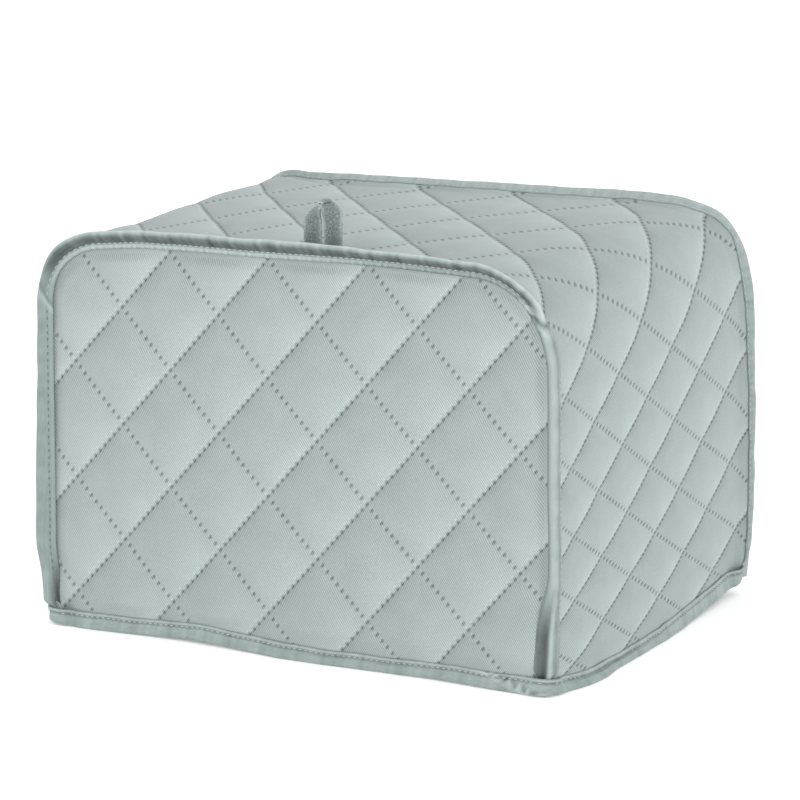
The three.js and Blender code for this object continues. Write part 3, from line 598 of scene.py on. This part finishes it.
# Stitch rows on the gusset: how the row number grows with w, the place from front to back (-1 to 1),
# with p, the way over the top, and with q, the way down the side, both in tenths of a metre from the
# right shoulder. The weights are those of 1, w, ww, p, q, pw, qw, pp, qq, pww, qww and qqw. The bends
# say how far above the shoulder p gives way to q, and over what length.
STITCH_ROWS = {
    "main": (0.945, 1.71, -0.10, 1.68, 2.26, 0.01, 0.62, -0.076, 0.185, -0.02, -0.106, -0.36),
    "cross": (0.446, -1.34, 0.266, 1.49, 2.45, -0.26, -0.78, -0.266, 0.24, 0.115, -0.14, 0.223),
}
ROW_BENDS = {"main": (10, 6), "cross": (30, 12)}


def stitch_rows(kind, u, v):
    """The row number at a place: a sum of the weighted terms. The mixed terms with q hold on the right
    side alone."""
    run = np.arange(0.0, STRIP + 2)
    before, length = ROW_BENDS[kind]
    side = smooth((np.abs(run - STRIP / 2) - STRIP / 2 + STRIP_LENGTHS[2] + before) / length)
    p, q = ((np.interp(u, run, np.cumsum(way)) - np.interp(STRIP_LENGTHS[3], run, np.cumsum(way))) / 100
            for way in (1 - side, side))
    w, right = v / (DEPTH / 2), np.maximum(q, 0)
    terms = (1, w, w * w, p, q, p * w, right * w, p * p, q * np.abs(q), p * w * w, right * w * w,
             right * right * w)
    return sum(weight * term for weight, term in zip(STITCH_ROWS[kind], terms))


def flange_lean(seam, length):
    """How far the seam's flange leans from straight outwards to straight ahead, in radians."""
    return np.radians(np.interp(length, *np.array(seam["lean"]).T))


def make_gusset():
    """Outer face: the domed strip plus pillows between the slanting stitch lines. Past each seam it
    turns and follows the flange into the folded tape; at the back the turn is a soft flare."""
    u = np.linspace(0, STRIP, GUSSET_COLUMNS)[None]
    v = np.linspace(FRONT["y"], BACK["y"], STRIP_ROWS)
    v = np.pad(v, (FLANGE_ROWS, FLARE_ROWS), mode="edge")[:, None]
    past = [np.linspace(4, 0.8, FLANGE_ROWS), np.zeros(STRIP_ROWS), np.linspace(1.1, 8.8, FLARE_ROWS)]
    past = np.concatenate(past)[:, None]
    at_back = (np.arange(len(v)) >= 60)[:, None] * 1.0
    lean = mix(*at_seams(flange_lean, u), at_back)
    shift = past * np.sin(lean) * (2 * at_back - 1)
    seam = np.minimum(v - FRONT["y"], BACK["y"] - v) + 0 * u
    foot = np.minimum(u, STRIP - u) + HEM_LINE - HEM_HEIGHT + 0 * v
    u, v = u + 0 * v, v + 0 * u
    flat = gusset_at(u, v, 0)
    on_top = smooth((flat[..., 2] - 150) / 40)
    # The stitch lines are drawn towards the back seam and along with the cloth over its flare
    reach = at_back * (past * 2.2 + 3.0 * (1 - smooth(seam / 10)))
    along, around = v + reach - past * (1 - at_back), u - 0.4 * reach * on_top
    main, cross = stitch_rows("main", around, along), stitch_rows("cross", around, along)
    near_loop = (1 - smooth((np.hypot(flat[..., 0] - LOOP_X, v - LOOP_Y) - 9) / 14)) * (flat[..., 2] > 100)
    fade = smooth((seam + 0.5) / 9) * smooth(foot / 9) * (1 - near_loop)
    uneven = 0.4 * waves(u, 5, (83, 57, 121)) * waves(v + 0.3 * u, 6, (64, 91, 47))
    puff = fade * (1.1 * pillow(main, cross) + uneven)
    # The left shoulder is stretched outwards, most of all beside the front seam
    stretched = 2.3 + 2.8 * bump(v, -100, 32) + 1.4 * bump(v, 95, 16)
    puff = puff + bump(u, 196, 34) * stretched * smooth(seam / 9)
    tucked = mix(0.9 * (1 - smooth(seam / 3.0)), -0.9 * (1 - smooth(seam / 10)), at_back)
    outer = gusset_at(u, v, CLOTH - tucked + puff + past * (np.cos(lean) - 0.09 * at_back))
    inner = gusset_at(u, v, 0.2 * (past > 0) + past * np.cos(lean) - 0.3 * puff)
    outer[..., 1] += shift
    inner[..., 1] += shift
    edge = np.where(at_back > 0, 60, np.clip(seam - 1, 0, 60))
    return put_quilted("quilted_gusset", "gusset", (outer, inner), (main, cross, edge), (along, -u),
                       gusset_cloth, True)


gusset = make_gusset()


# Bound seams

# The folded tape in section, from its edge on the panel round the fold to its edge on the gusset: how far out
# from the stitched line, how far ahead of the panel, and its painted light there: painted shade in the
# hollows and inner folds, painted highlights on the rolled and turned edges.
PRESSED_FLAT = [
    (0.9, 3.7, 0.8), (1.7, 4.1, 1.05), (2.8, 4.4, 1.02), (4.0, 4.7, 0.9), (5.4, 5.2, 1.0), (6.8, 6.1, 1.0),
    (8.2, 6.9, 1.0), (9.3, 7.5, 1.0), (10.1, 7.8, 1.02), (10.7, 7.3, 1.0), (10.7, 6.2, 0.95), (8.8, 4.0, 0.9),
    (5.8, 1.4, 0.9), (3.4, -1.6, 0.8),
]
ROLLED_OVER = [
    (1.9, 3.7, 0.9), (2.9, 4.3, 1.34), (4.0, 4.7, 1.3), (4.9, 4.8, 0.5), (5.8, 5.3, 0.36), (6.8, 6.4, 0.36),
    (7.8, 7.8, 0.42), (9.0, 9.0, 0.62), (10.3, 9.2, 1.2), (11.2, 8.1, 1.85), (11.0, 6.2, 1.5),
    (8.8, 3.6, 1.0), (5.8, 1.2, 0.9), (3.4, -1.6, 0.8),
]
FOLDED_AHEAD = [
    (1.8, 3.4, 0.55), (2.5, 4.1, 0.72), (3.3, 4.7, 1.0), (4.2, 5.1, 1.26), (5.0, 5.5, 1.4), (5.8, 5.7, 1.42),
    (6.5, 5.5, 1.4), (7.0, 4.9, 1.3), (7.2, 4.0, 1.15), (7.1, 2.8, 0.9), (6.9, 1.6, 0.75), (6.6, 0.2, 0.8),
    (6.0, -1.6, 0.9), (5.0, -4.2, 0.7),
]
LEFT_FOOT = [
    (1.3, 3.3, 0.3), (2.1, 3.5, 0.18), (3.1, 3.9, 0.3), (4.2, 4.7, 0.62), (5.1, 5.7, 0.95), (6.1, 6.7, 1.2),
    (7.1, 7.3, 1.15), (8.1, 7.4, 1.05), (8.9, 6.9, 1.0), (9.3, 5.9, 0.95), (8.9, 4.7, 0.9), (7.3, 3.1, 0.9),
    (5.4, 1.2, 0.9), (3.4, -1.2, 0.8),
]
RIGHT_FOOT = [
    (-4.6, 3.1, 0.6), (-3.9, 3.8, 0.7), (-2.8, 4.2, 0.5), (-1.4, 4.2, 0.42), (0.0, 4.1, 0.36),
    (1.4, 4.0, 0.28), (3.0, 4.6, 0.42), (4.4, 5.2, 1.1), (5.4, 5.2, 1.5), (6.1, 4.4, 1.2), (6.2, 3.0, 0.85),
    (5.8, 0.8, 0.75), (5.2, -1.8, 0.95), (4.4, -4.2, 0.8),
]
TAPE_WALL = 0.9
TAPE_STATIONS = 620

# Where each section takes over from the one before along the front seam, and over what length
FRONT_SECTIONS = [(PRESSED_FLAT, 12, 28), (ROLLED_OVER, 166, 20), (FOLDED_AHEAD, 442, 12),
                  (RIGHT_FOOT, 566, 34)]

# The back tape by length along its seam: how far its fold stands out along the flange, and where its gusset
# side ends. Then, round the fold, how far each point lies from the flange and its painted light: painted
# shade at its panel edge and painted highlights round the fold.
BACK_FOLD = [(0, 9.0), (20, 11.2), (190, 11.6), (300, 11.4), (440, 11.6), (480, 11.6), (540, 12.0),
             (620, 11.6), (640, 9.6)]
BACK_COVER = [(0, 5.6), (190, 5.8), (300, 5.6), (345, 4.8), (415, 4.6), (440, 5.8), (457, 7.6), (475, 5.4),
              (500, 6.4), (540, 7.7), (615, 7.9), (640, 8.2)]
BACK_ACROSS = [-2.1, -2.2, -2.2, -2.0, -1.5, -0.5, 0.9, 1.8, 2.4, 2.6, 2.5]
BACK_PAINTED_LIGHT = [0.8, 1.0, 1.0, 1.0, 1.0, 1.05, 1.25, 1.35, 1.3, 1.25, 1.1]
FRONT_RUN, BACK_RUN = 624, 637


def into_fold(curve):
    """Unit vectors from a section's outer curve into the fold, square to it."""
    run = np.gradient(curve[..., :2], axis=1)
    run /= np.linalg.norm(run, axis=2)[..., None]
    return np.stack([run[..., 1], -run[..., 0]], -1)


def folded(curve):
    """A folded tape's whole section: its outer curve, then back along it one wall inside."""
    inside = curve.copy()
    inside[..., :2] += TAPE_WALL * into_fold(curve)
    # The inside wall gets a painted shade of 0.6
    inside[..., 2] = 0.6
    return np.concatenate([curve, inside[:, ::-1]], 1)


def seam_place(seam, length, section):
    """Carries a section along the sewn seam: out along the seam's outward direction, ahead across
    the panel."""
    x, z, out_x, out_z = (value[:, None] for value in sewn_seam(seam, length))
    out, ahead = section[..., 0], section[..., 1]
    y = seam["y"] + seam["facing"] * ahead
    return settle(np.stack([x + out_x * out, y + 0 * out, z + out_z * out], -1))


def make_seam_tape(name, node, seam, section_at):
    """A folded tape along the whole seam."""
    total = seam_lengths(seam)[-1]
    start = TAPE_BOTTOM - HEM_LINE
    length = np.linspace(start, total - start, TAPE_STATIONS)
    section = folded(open_curve(section_at(length)))
    return put_tape(name, node, seam_place(seam, length, section), section[..., 2], length[:, None],
                    np.arange(section.shape[1]) * 0.6, seam_satin, turned=seam["facing"] > 0)


def front_section(length):
    """Pressed flat up the left side, rolled over along the top, folded ahead down the right side, with slow
    waves and small satin wrinkles in the fold. The wrinkles, slanting creases and puckers also carry painted
    highlight and shade."""
    section = np.array(LEFT_FOOT)[None]
    for shape, place, span in FRONT_SECTIONS:
        section = mix(section, np.array(shape)[None], smooth((length - place) / span)[:, None, None])
    out = section[..., 0]
    free = smooth((out - 3.5) / 4)
    # The fold is narrower up the left side and before the right shoulder
    less = 0.16 * smooth((length - 50) / 110) * (1 - smooth((length - 170) / 20))
    less = less + 0.13 * smooth((length - 320) / 50) * (1 - smooth((length - 430) / 20))
    section[..., :2] *= 1 - less[:, None, None] * free[..., None]
    on_top = (smooth((length - 175) / 30) * (1 - smooth((length - 440) / 25)))[:, None]

    def sway(seed, *lengths):
        return waves(length, seed, lengths)[:, None]

    section[..., 1] += free * (0.45 * sway(11, 46, 29, 71))
    section[..., 0] += free * (0.3 * sway(12, 38, 61, 23))
    # The wrinkles move the tape ahead and lighten or darken it by the same amount, as painted light
    wrinkles = on_top * free * 0.22 * sway(14, 5.2, 7.9, 3.7, 11.3)
    section[..., 1:] += wrinkles[..., None]
    # Slanting creases at the two shoulders: pairs of painted highlight and shade, with a small real bulge at
    # the right one
    lap = length[:, None] - 1.3 * out
    painted_crease_light = bump(lap, 436, 2.6) - 0.9 * bump(lap, 441, 1.6) + 0.5 * bump(lap, 446, 2.2)
    section[..., 2] += 0.55 * painted_crease_light + 0.35 * bump(lap, 158, 1.6) - 0.3 * bump(lap, 161, 1.2)
    section[..., 1] += free * 0.7 * bump(lap, 438, 4)
    # The stitched edge along the top puckers, with a painted highlight where each pucker stands out, and
    # darkens to the right
    strip = on_top * smooth(4.6 - out)
    section[..., 2] -= strip * (0.5 * smooth((length - 300) / 90) - 0.1)[:, None]
    puckers = strip * sway(15, 2.6, 3.4, 4.7)
    section[..., 1] += 0.22 * puckers
    section[..., 2] += 0.3 * puckers
    section[..., 2] += free * 0.12 * sway(13, 17, 31, 9)
    return tucked_in(section, length, FRONT_RUN)


def tucked_in(section, length, total):
    """Draws the tape's two lower ends in, where they go behind the hem tape."""
    end = np.minimum(length, total - length)
    section[..., :2] *= mix(0.5, 1, smooth((end - 3) / 7))[:, None, None]
    return section


def back_section(length):
    """The back tape stands on a flange that leans back. Each section is laid out along the flange
    and across it, and turned by the lean. Its gusset side covers less of the flange at the right."""
    lean = flange_lean(BACK, length)[:, None]
    tip = np.interp(length, *np.array(BACK_FOLD).T)
    cover = np.interp(length, *np.array(BACK_COVER).T)
    tip = (tip + 0.35 * waves(length, 21, (52, 33, 19)))[:, None]
    cover = (cover + 0.3 * waves(length, 24, (41, 27, 15)))[:, None]
    even = np.array([2.0, 4.0, 6.5, 8.5])[None] + 0 * tip
    flange = np.concatenate([even, tip - 0.9, tip, tip, tip - 0.8, mix(cover, tip, 0.5), cover + 0.8,
                             cover], 1)
    across = np.array(BACK_ACROSS)[None]
    painted_light_and_mottle = np.array(BACK_PAINTED_LIGHT)[None] + 0 * tip
    mottled = waves(length, 23, (5.5, 8.3, 12.1, 3.9))[:, None]
    pale = mix(0.8, 1.0, smooth((length - 200) / 60) * (1 - smooth((length - 440) / 50)))[:, None]
    across = across + 0.15 * mottled * smooth(across - 0.5)
    # Painted light round the fold, lighter along the top, with random mottling
    painted_light_and_mottle = painted_light_and_mottle * pale + 0.16 * mottled
    out = flange * np.cos(lean) + across * np.sin(lean)
    ahead = flange * np.sin(lean) - across * np.cos(lean)
    return tucked_in(np.stack([out, ahead, painted_light_and_mottle], -1), length, BACK_RUN)


front_tape = make_seam_tape("front_seam_tape", "front_binding", FRONT, front_section)
back_tape = make_seam_tape("back_seam_tape", "back_binding", BACK, back_section)


# Hem tape

# The hem tape in section, round its folded foot: out from the stitched line, height (the share of the tape's
# height and a rest), and its painted light: a painted highlight along the upper edge with a line of painted
# shade under it, and painted shade on the inside.
HEM_TAPE = [
    (2.5, 1, 0.0, 0.55), (3.2, 1, 0.1, 1.15), (3.7, 1, -0.7, 1.3), (3.5, 1, -1.7, 0.62), (4.0, 1, -2.7, 1.1),
    (4.5, 0, 3.4, 1.12), (4.9, 0, 1.8, 1.05), (4.8, 0, 0.6, 1.05), (3.9, 0, 0.0, 1.0), (1.2, 0, 0.0, 0.9),
    (-0.4, 0, 0.1, 0.9), (-1.0, 0, 0.8, 0.9), (-1.3, 0, 3.0, 0.9), (-1.2, 1, -1.0, 0.9), (-0.9, 1, 0.0, 0.9),
    (-0.2, 1, 0.0, 0.6), (0.3, 0, 3.2, 0.6), (1.9, 0, 3.2, 0.6),
]


HEM_STATIONS, HEM_STITCHES = 820, 316

# Where the hem tape goes round the seam tapes' lower ends, and how far it stands out there
EARS = [(-FRONT["half"], FRONT["y"] + 1.5, 7.0), (FRONT["half"], FRONT["y"] + 1.5, 3.2),
        (BACK["half"], BACK["y"] - 1.5, 6.4), (-BACK["half"], BACK["y"] - 1.5, 6.0)]
HEM_SWAY = (31, (37, 61, 23))


def hem_path(count):
    """The stitched line round the foot: front, right side, back, left side, the sides domed. Gives
    count even places on it, the direction outwards at each and the length up to it."""
    t = np.linspace(0, 1, 200)
    to_right, to_back, still = mix(-1, 1, t), mix(FRONT["y"], BACK["y"], t), np.ones_like(t)
    sides = [
        np.stack([FRONT["half"] * to_right, FRONT["y"] * still], -1),
        gusset_at(STRIP * still, to_back, 0)[:, :2],
        np.stack([-BACK["half"] * to_right, BACK["y"] * still], -1),
        gusset_at(0 * still, to_back[::-1], 0)[:, :2],
    ]
    line = np.concatenate(sides)
    run = np.concatenate([[0], np.cumsum(np.hypot(*np.diff(line, axis=0).T))])
    length = np.linspace(0, run[-1], count, endpoint=False)
    place = np.stack([np.interp(length, run, line[:, k]) for k in (0, 1)], -1)
    reach = max(1, round(count / 270))
    ahead = np.roll(place, -reach, 0) - np.roll(place, reach, 0)
    normal = np.stack([ahead[:, 1], -ahead[:, 0]], -1) / np.linalg.norm(ahead, axis=1)[:, None]
    return place, normal, length


def hem_shape(place, length):
    """Height of the hem tape's upper edge, its lift off the floor, its flare at the foot and how far
    it stands out round the flange at each corner."""
    x, y = place.T
    front, right = y < FRONT["y"] + 0.1, x > FRONT["half"] + 0.1
    high = 7.4 + 0.35 * waves(length, 32, (83, 47, 29))
    high = high - 1.0 * front * bump(x, 38, 45) + 0.3 * front * bump(x, 128, 18)
    step = smooth((y - 2) / 6)
    high = high + right * mix(-1.9 * bump(y, -48, 44), 0.6 + 1.0 * smooth((y - 8) / 70), step)
    lift = 1.5 * front * bump(x, -58, 32) + 0.7 * front * bump(x, 78, 28)
    corners = 1.0 * bump(x, -FRONT["half"], 6) + 0.9 * bump(x, FRONT["half"], 5)
    lift = lift + corners * bump(y, FRONT["y"], 8)
    flare = 0.4 + front * 0.5 + right * (1.6 * bump(y, -70, 40))
    ear = 0 * x
    for corner_x, corner_y, reach in EARS:
        ear = ear + reach * np.exp(-(np.hypot(x - corner_x, y - corner_y) / 4.6) ** 2)
    return high, lift, flare, ear


def make_hem_tape():
    """The folded tape stands round the foot; its outer face waves a little and flares at the floor.
    At the corners it goes round the seam tapes' lower ends, and at the front right its lapped end is drawn
    only as painted highlight and shade."""
    place, normal, length = hem_path(HEM_STATIONS)
    high, lift, flare, ear = hem_shape(place, length)
    controls = np.array(HEM_TAPE)[None]
    out, share, rest, painted_light_and_mottle = (np.repeat(controls[..., k], len(length), 0) for k in range(4))
    height = share * high[:, None] + rest
    outer = smooth(out / 3)
    low = 1 - smooth((height - 0.5) / 5)
    ear = ear[:, None] * (0.45 + 0.55 * np.clip(height / high[:, None], 0, 1))
    out = out + outer * (ear + 0.3 * waves(length, *HEM_SWAY)[:, None]) + outer * low * flare[:, None]
    mottled = 0.14 * waves(length, 33, (19, 31, 11)) + 0.1 * waves(length, 34, (5, 7, 3.6))
    painted_light_and_mottle = painted_light_and_mottle + outer * mottled[:, None]
    # The end lapped over at the front right is drawn only as slanting bands of painted highlight and shade
    lap = place[:, :1] - 106 - 28 * (1 - np.clip(height / high[:, None], 0, 1))
    lapped = outer * (place[:, 1:] < FRONT["y"] + 0.1)
    painted_light_and_mottle = painted_light_and_mottle + lapped * (0.4 * bump(lap, -3, 3.5) - 0.6 * bump(lap, 0.8, 1.2) + 0.5 * bump(lap, 3, 1.2)
                            - 0.5 * bump(lap, 5.2, 1.2))
    section = closed_curve(np.stack([out, height, painted_light_and_mottle], -1))
    flat = place[:, None] + normal[:, None] * section[..., :1]
    raised = np.maximum(section[..., 1:2], 0) + lift[:, None, None]
    rings = settle(np.concatenate([flat, raised], -1))
    return put_tape("hem_tape", "hem_binding", rings, section[..., 2], length[:, None],
                    np.arange(section.shape[1]) * 0.5, hem_satin, True, True)


hem_tape = make_hem_tape()


# Hanging loop

# One limb of the loop from its foot up to the bend: share of the way, how far aside of the middle, how
# far back, how high, how far it is turned edge on and how far it lies over, both in degrees
LOOP_LIMB = [
    (0, 5.5, -6.0, 0.0, 0, 90), (0.1, 5.5, -2.0, 0.0, 0, 90), (0.16, 5.5, -0.5, 0.7, 0, 45),
    (0.22, 5.5, 0.0, 2.4, 0, 0), (0.5, 5.4, 0.0, 10.0, 0, 0), (0.68, 5.2, 0.0, 16.5, 6, 0),
    (0.78, 4.7, 0.0, 19.5, 26, 0), (0.87, 3.5, 0.0, 22.0, 46, 0), (0.95, 2.1, 0.0, 23.8, 64, 0),
    (1, 1.4, 0.0, 24.8, 76, 0),
]
LOOP_BEND, LOOP_TOP = 1.4, 24.8
LOOP_HALF, LOOP_WALL = 5.0, 0.75
LOOP_SPREAD = {-1: 0.99, 1: -0.44}  # how much further aside the left and the right limb stand


def make_loop():
    """A folded tape: two limbs side by side that turn edge on as they near each other and meet in a
    small bend at the top. Its section, a rounded flat bar, is carried along that path."""
    floor = gusset_at(np.array([STRIP / 2]), np.array([LOOP_Y]), CLOTH)[0, 2] + 1.2
    way = np.linspace(0, 1, 90)
    keys = np.array(LOOP_LIMB).T
    aside, y, z, twist, pitch = (np.interp(way, keys[0], key) for key in keys[1:])
    turn, tip = np.radians(twist), np.radians(pitch)
    zero = np.zeros_like(turn)

    def limb(sign):
        """Centre line, direction across the tape and direction through it; sign is -1 at the left."""
        wider = LOOP_SPREAD[sign] * smooth((0.95 - way) / 0.25)
        centre = np.stack([LOOP_X + sign * (aside + wider), LOOP_Y + y, floor + z], -1)
        across = np.stack([-sign * np.cos(turn), -np.sin(turn), zero], -1)
        through = [sign * np.sin(turn) * np.cos(tip), -np.cos(turn) * np.cos(tip), np.sin(tip)]
        return centre, across, np.stack(through, -1)

    bend = np.linspace(PI, 0, 14)[1:-1]
    still = 0 * bend
    centre = np.stack([LOOP_X + LOOP_BEND * np.cos(bend), LOOP_Y + still,
                       floor + LOOP_TOP + LOOP_BEND * np.sin(bend)], -1)
    across = np.stack([still, still - 1, still], -1)
    through = np.stack([-np.cos(bend), still, -np.sin(bend)], -1)
    left, right = limb(-1), limb(1)
    parts = [np.concatenate([a, m, b[::-1]]) for a, m, b in zip(left, (centre, across, through), right)]
    centre, across, through = (part[:, None] for part in parts)
    round_bar = np.linspace(0, 2 * PI, 36, endpoint=False)
    flat = np.sign(np.cos(round_bar)) * np.abs(np.cos(round_bar)) ** 0.35
    thick = np.sign(np.sin(round_bar)) * np.abs(np.sin(round_bar)) ** 0.6
    depth = thick * LOOP_WALL + 0.35 * flat**2
    rings = centre + across * (flat * LOOP_HALF)[None, :, None] + through * depth[None, :, None]
    # Painted shade down the middle of the tape and painted highlights at its edges
    light = 0.72 + 0.75 * np.abs(flat) ** 3
    length = np.linspace(0, 60, len(rings))[:, None]
    return put_tape("loop_tape", "hanging_loop", settle(rings), light, length, flat * LOOP_HALF, loop_satin)


loop = make_loop()


# Stitches

def unit(vectors):
    """The same directions, one long."""
    return vectors / np.linalg.norm(vectors, axis=1)[:, None]


def thread_row(name, middle, ahead, up, length_mm, radius_mm, material=thread):
    """A row of stitches as one mesh: the same small ellipsoid, turned along the row at each place."""
    ring, belts = 6, 5
    around = np.linspace(0, 2 * PI, ring, endpoint=False)
    down = np.linspace(0, PI, belts + 2)[1:-1, None]
    body = [-np.cos(down) + 0 * around, np.cos(around) * np.sin(down), np.sin(around) * np.sin(down)]
    body = np.concatenate([np.stack(body, -1).reshape(-1, 3), [[-1, 0, 0], [1, 0, 0]]])
    side = unit(np.cross(up, ahead))
    points = (middle[:, None] + body[None, :, :1] * ahead[:, None] * length_mm / 2
              + body[None, :, 1:2] * side[:, None] * radius_mm + body[None, :, 2:] * up[:, None] * radius_mm)
    first, last, count = belts * ring, belts * ring + 1, len(body)
    i = np.arange(ring)
    after = (i + 1) % ring
    quads = np.concatenate([np.stack([i, after, after + ring, i + ring], -1) + k * ring
                            for k in range(belts - 1)])
    rim = (belts - 1) * ring
    caps = np.concatenate([np.stack([0 * i + first, after, i], -1),
                           np.stack([0 * i + last, i + rim, after + rim], -1)])
    shift = count * np.arange(len(middle))[:, None, None]
    faces = (quads[None] + shift).reshape(-1, 4).tolist() + (caps[None] + shift).reshape(-1, 3).tolist()
    return put_mesh(name, points.reshape(-1, 3), faces, {}, material)


def seam_stitches(name, seam, section_at, start, end, control, pitch, length_mm, material=thread):
    """Stitches lying on the tape's outer curve at one of its control points, from start to end along
    the seam."""
    length = np.arange(start, end, pitch)
    near = slice(SPAN_POINTS * control - 1, SPAN_POINTS * control + 2)
    curve = open_curve(section_at(length))[:, near]
    spot, inwards = curve[:, 1:2, :2], into_fold(curve)[:, 1:2]

    def at(shift, out):
        return seam_place(seam, length + shift, spot - out * inwards)[:, 0]

    middle = at(0, 0.05)
    ahead, up = unit(at(0.5, 0.05) - at(-0.5, 0.05)), unit(at(0, 1) - middle)
    return thread_row(name, middle, ahead, up, length_mm, 0.26, material)


# The left row's thread is darkened as painted shade
left_stitches = seam_stitches("left_seam_stitches", FRONT, front_section, 26, 160, 3, 3.6, 1.7, thread_in_painted_shade)
top_stitches = seam_stitches("top_seam_stitches", FRONT, front_section, 168, 446, 3, 3.1, 2.3)
right_stitches = seam_stitches("right_seam_stitches", FRONT, front_section, 474, 600, 12, 3.1, 2.0)
back_stitches = seam_stitches("back_seam_stitches", BACK, back_section, 20, 618, 9, 3.1, 1.9)


def hem_stitches():
    """Stitches round the hem tape, under its upper edge."""
    place, normal, length = hem_path(HEM_STITCHES)
    high, lift, _, ear = hem_shape(place, length)
    out = 3.5 + 0.3 * waves(length, *HEM_SWAY) + ear
    height = (high - 1.6 + lift)[:, None]
    middle = settle(np.concatenate([place + normal * out[:, None], height], -1))
    ahead = np.concatenate([np.stack([-normal[:, 1], normal[:, 0]], -1), 0 * height], -1)
    up = np.concatenate([normal, 0 * height], -1)
    return thread_row("hem_stitches", middle, ahead, up, 2.0, 0.24)


hem_row = hem_stitches()


# Floor, light and camera

def make_floor():
    """A plain pale floor far larger than the cover."""
    size = 6000.0
    corners = np.array([(-size, -size, 0), (size, -size, 0), (size, size, 0), (-size, size, 0)]) * MM
    mesh = bpy.data.meshes.new("floor")
    mesh.from_pydata(corners.tolist(), [], [(0, 1, 2, 3)])
    material, tree = new_material("pale matte floor")
    looks = {"Base Color": linear("#f9f9f9"), "Roughness": 0.95, "Emission Color": linear("#ffffff"),
             "Emission Strength": 0.2}
    for key, value in looks.items():
        tree.nodes["Principled BSDF"].inputs[key].default_value = value
    mesh.materials.append(material)
    put_object("floor", mesh)


def area_light(name, place, aim, size, watts):
    """A square lamp at a place, turned towards another."""
    data = bpy.data.lights.new(name, "AREA")
    data.size, data.energy = size, watts
    light = put_object(name, data)
    light.location = place
    light.rotation_euler = (Vector(aim) - Vector(place)).to_track_quat("-Z", "Y").to_euler()


def make_light():
    """An even white room and two broad soft lights, in front at the left and at the right."""
    world = bpy.data.worlds.new("white room")
    world.use_nodes = True
    world.node_tree.nodes["Background"].inputs[0].default_value = (1, 1, 1, 1)
    world.node_tree.nodes["Background"].inputs[1].default_value = 1.085
    bpy.context.scene.world = world
    area_light("soft front light", (-0.9, -2.2, 0.7), (0, 0, 0.1), 1.6, 13)
    area_light("soft right light", (2.3, -0.3, 0.7), (0, 0, 0.1), 1.6, 13)
    bpy.context.scene.view_settings.view_transform = "Standard"


CAMERA = {"side": 28.29, "high": 13.29, "away": 2.42664, "aim": (0.0006, 0, 0.10803), "lens": 215.95}


def make_camera():
    """Seen from 28 degrees to the right and 13 degrees up, from 2.4 m, with a long lens."""
    data = bpy.data.cameras.new("camera")
    data.sensor_width, data.lens = 36.0, CAMERA["lens"]
    camera = put_object("camera", data)
    side, high = np.radians(CAMERA["side"]), np.radians(CAMERA["high"])
    back = Vector((np.sin(side) * np.cos(high), -np.cos(side) * np.cos(high), np.sin(high)))
    right = Vector((np.cos(side), np.sin(side), 0))
    turn = Matrix((right, back.cross(right), back)).transposed()
    place = Vector(CAMERA["aim"]) + back * CAMERA["away"]
    camera.matrix_world = Matrix.Translation(place) @ turn.to_4x4()
    bpy.context.scene.camera = camera


make_floor()
make_light()
make_camera()
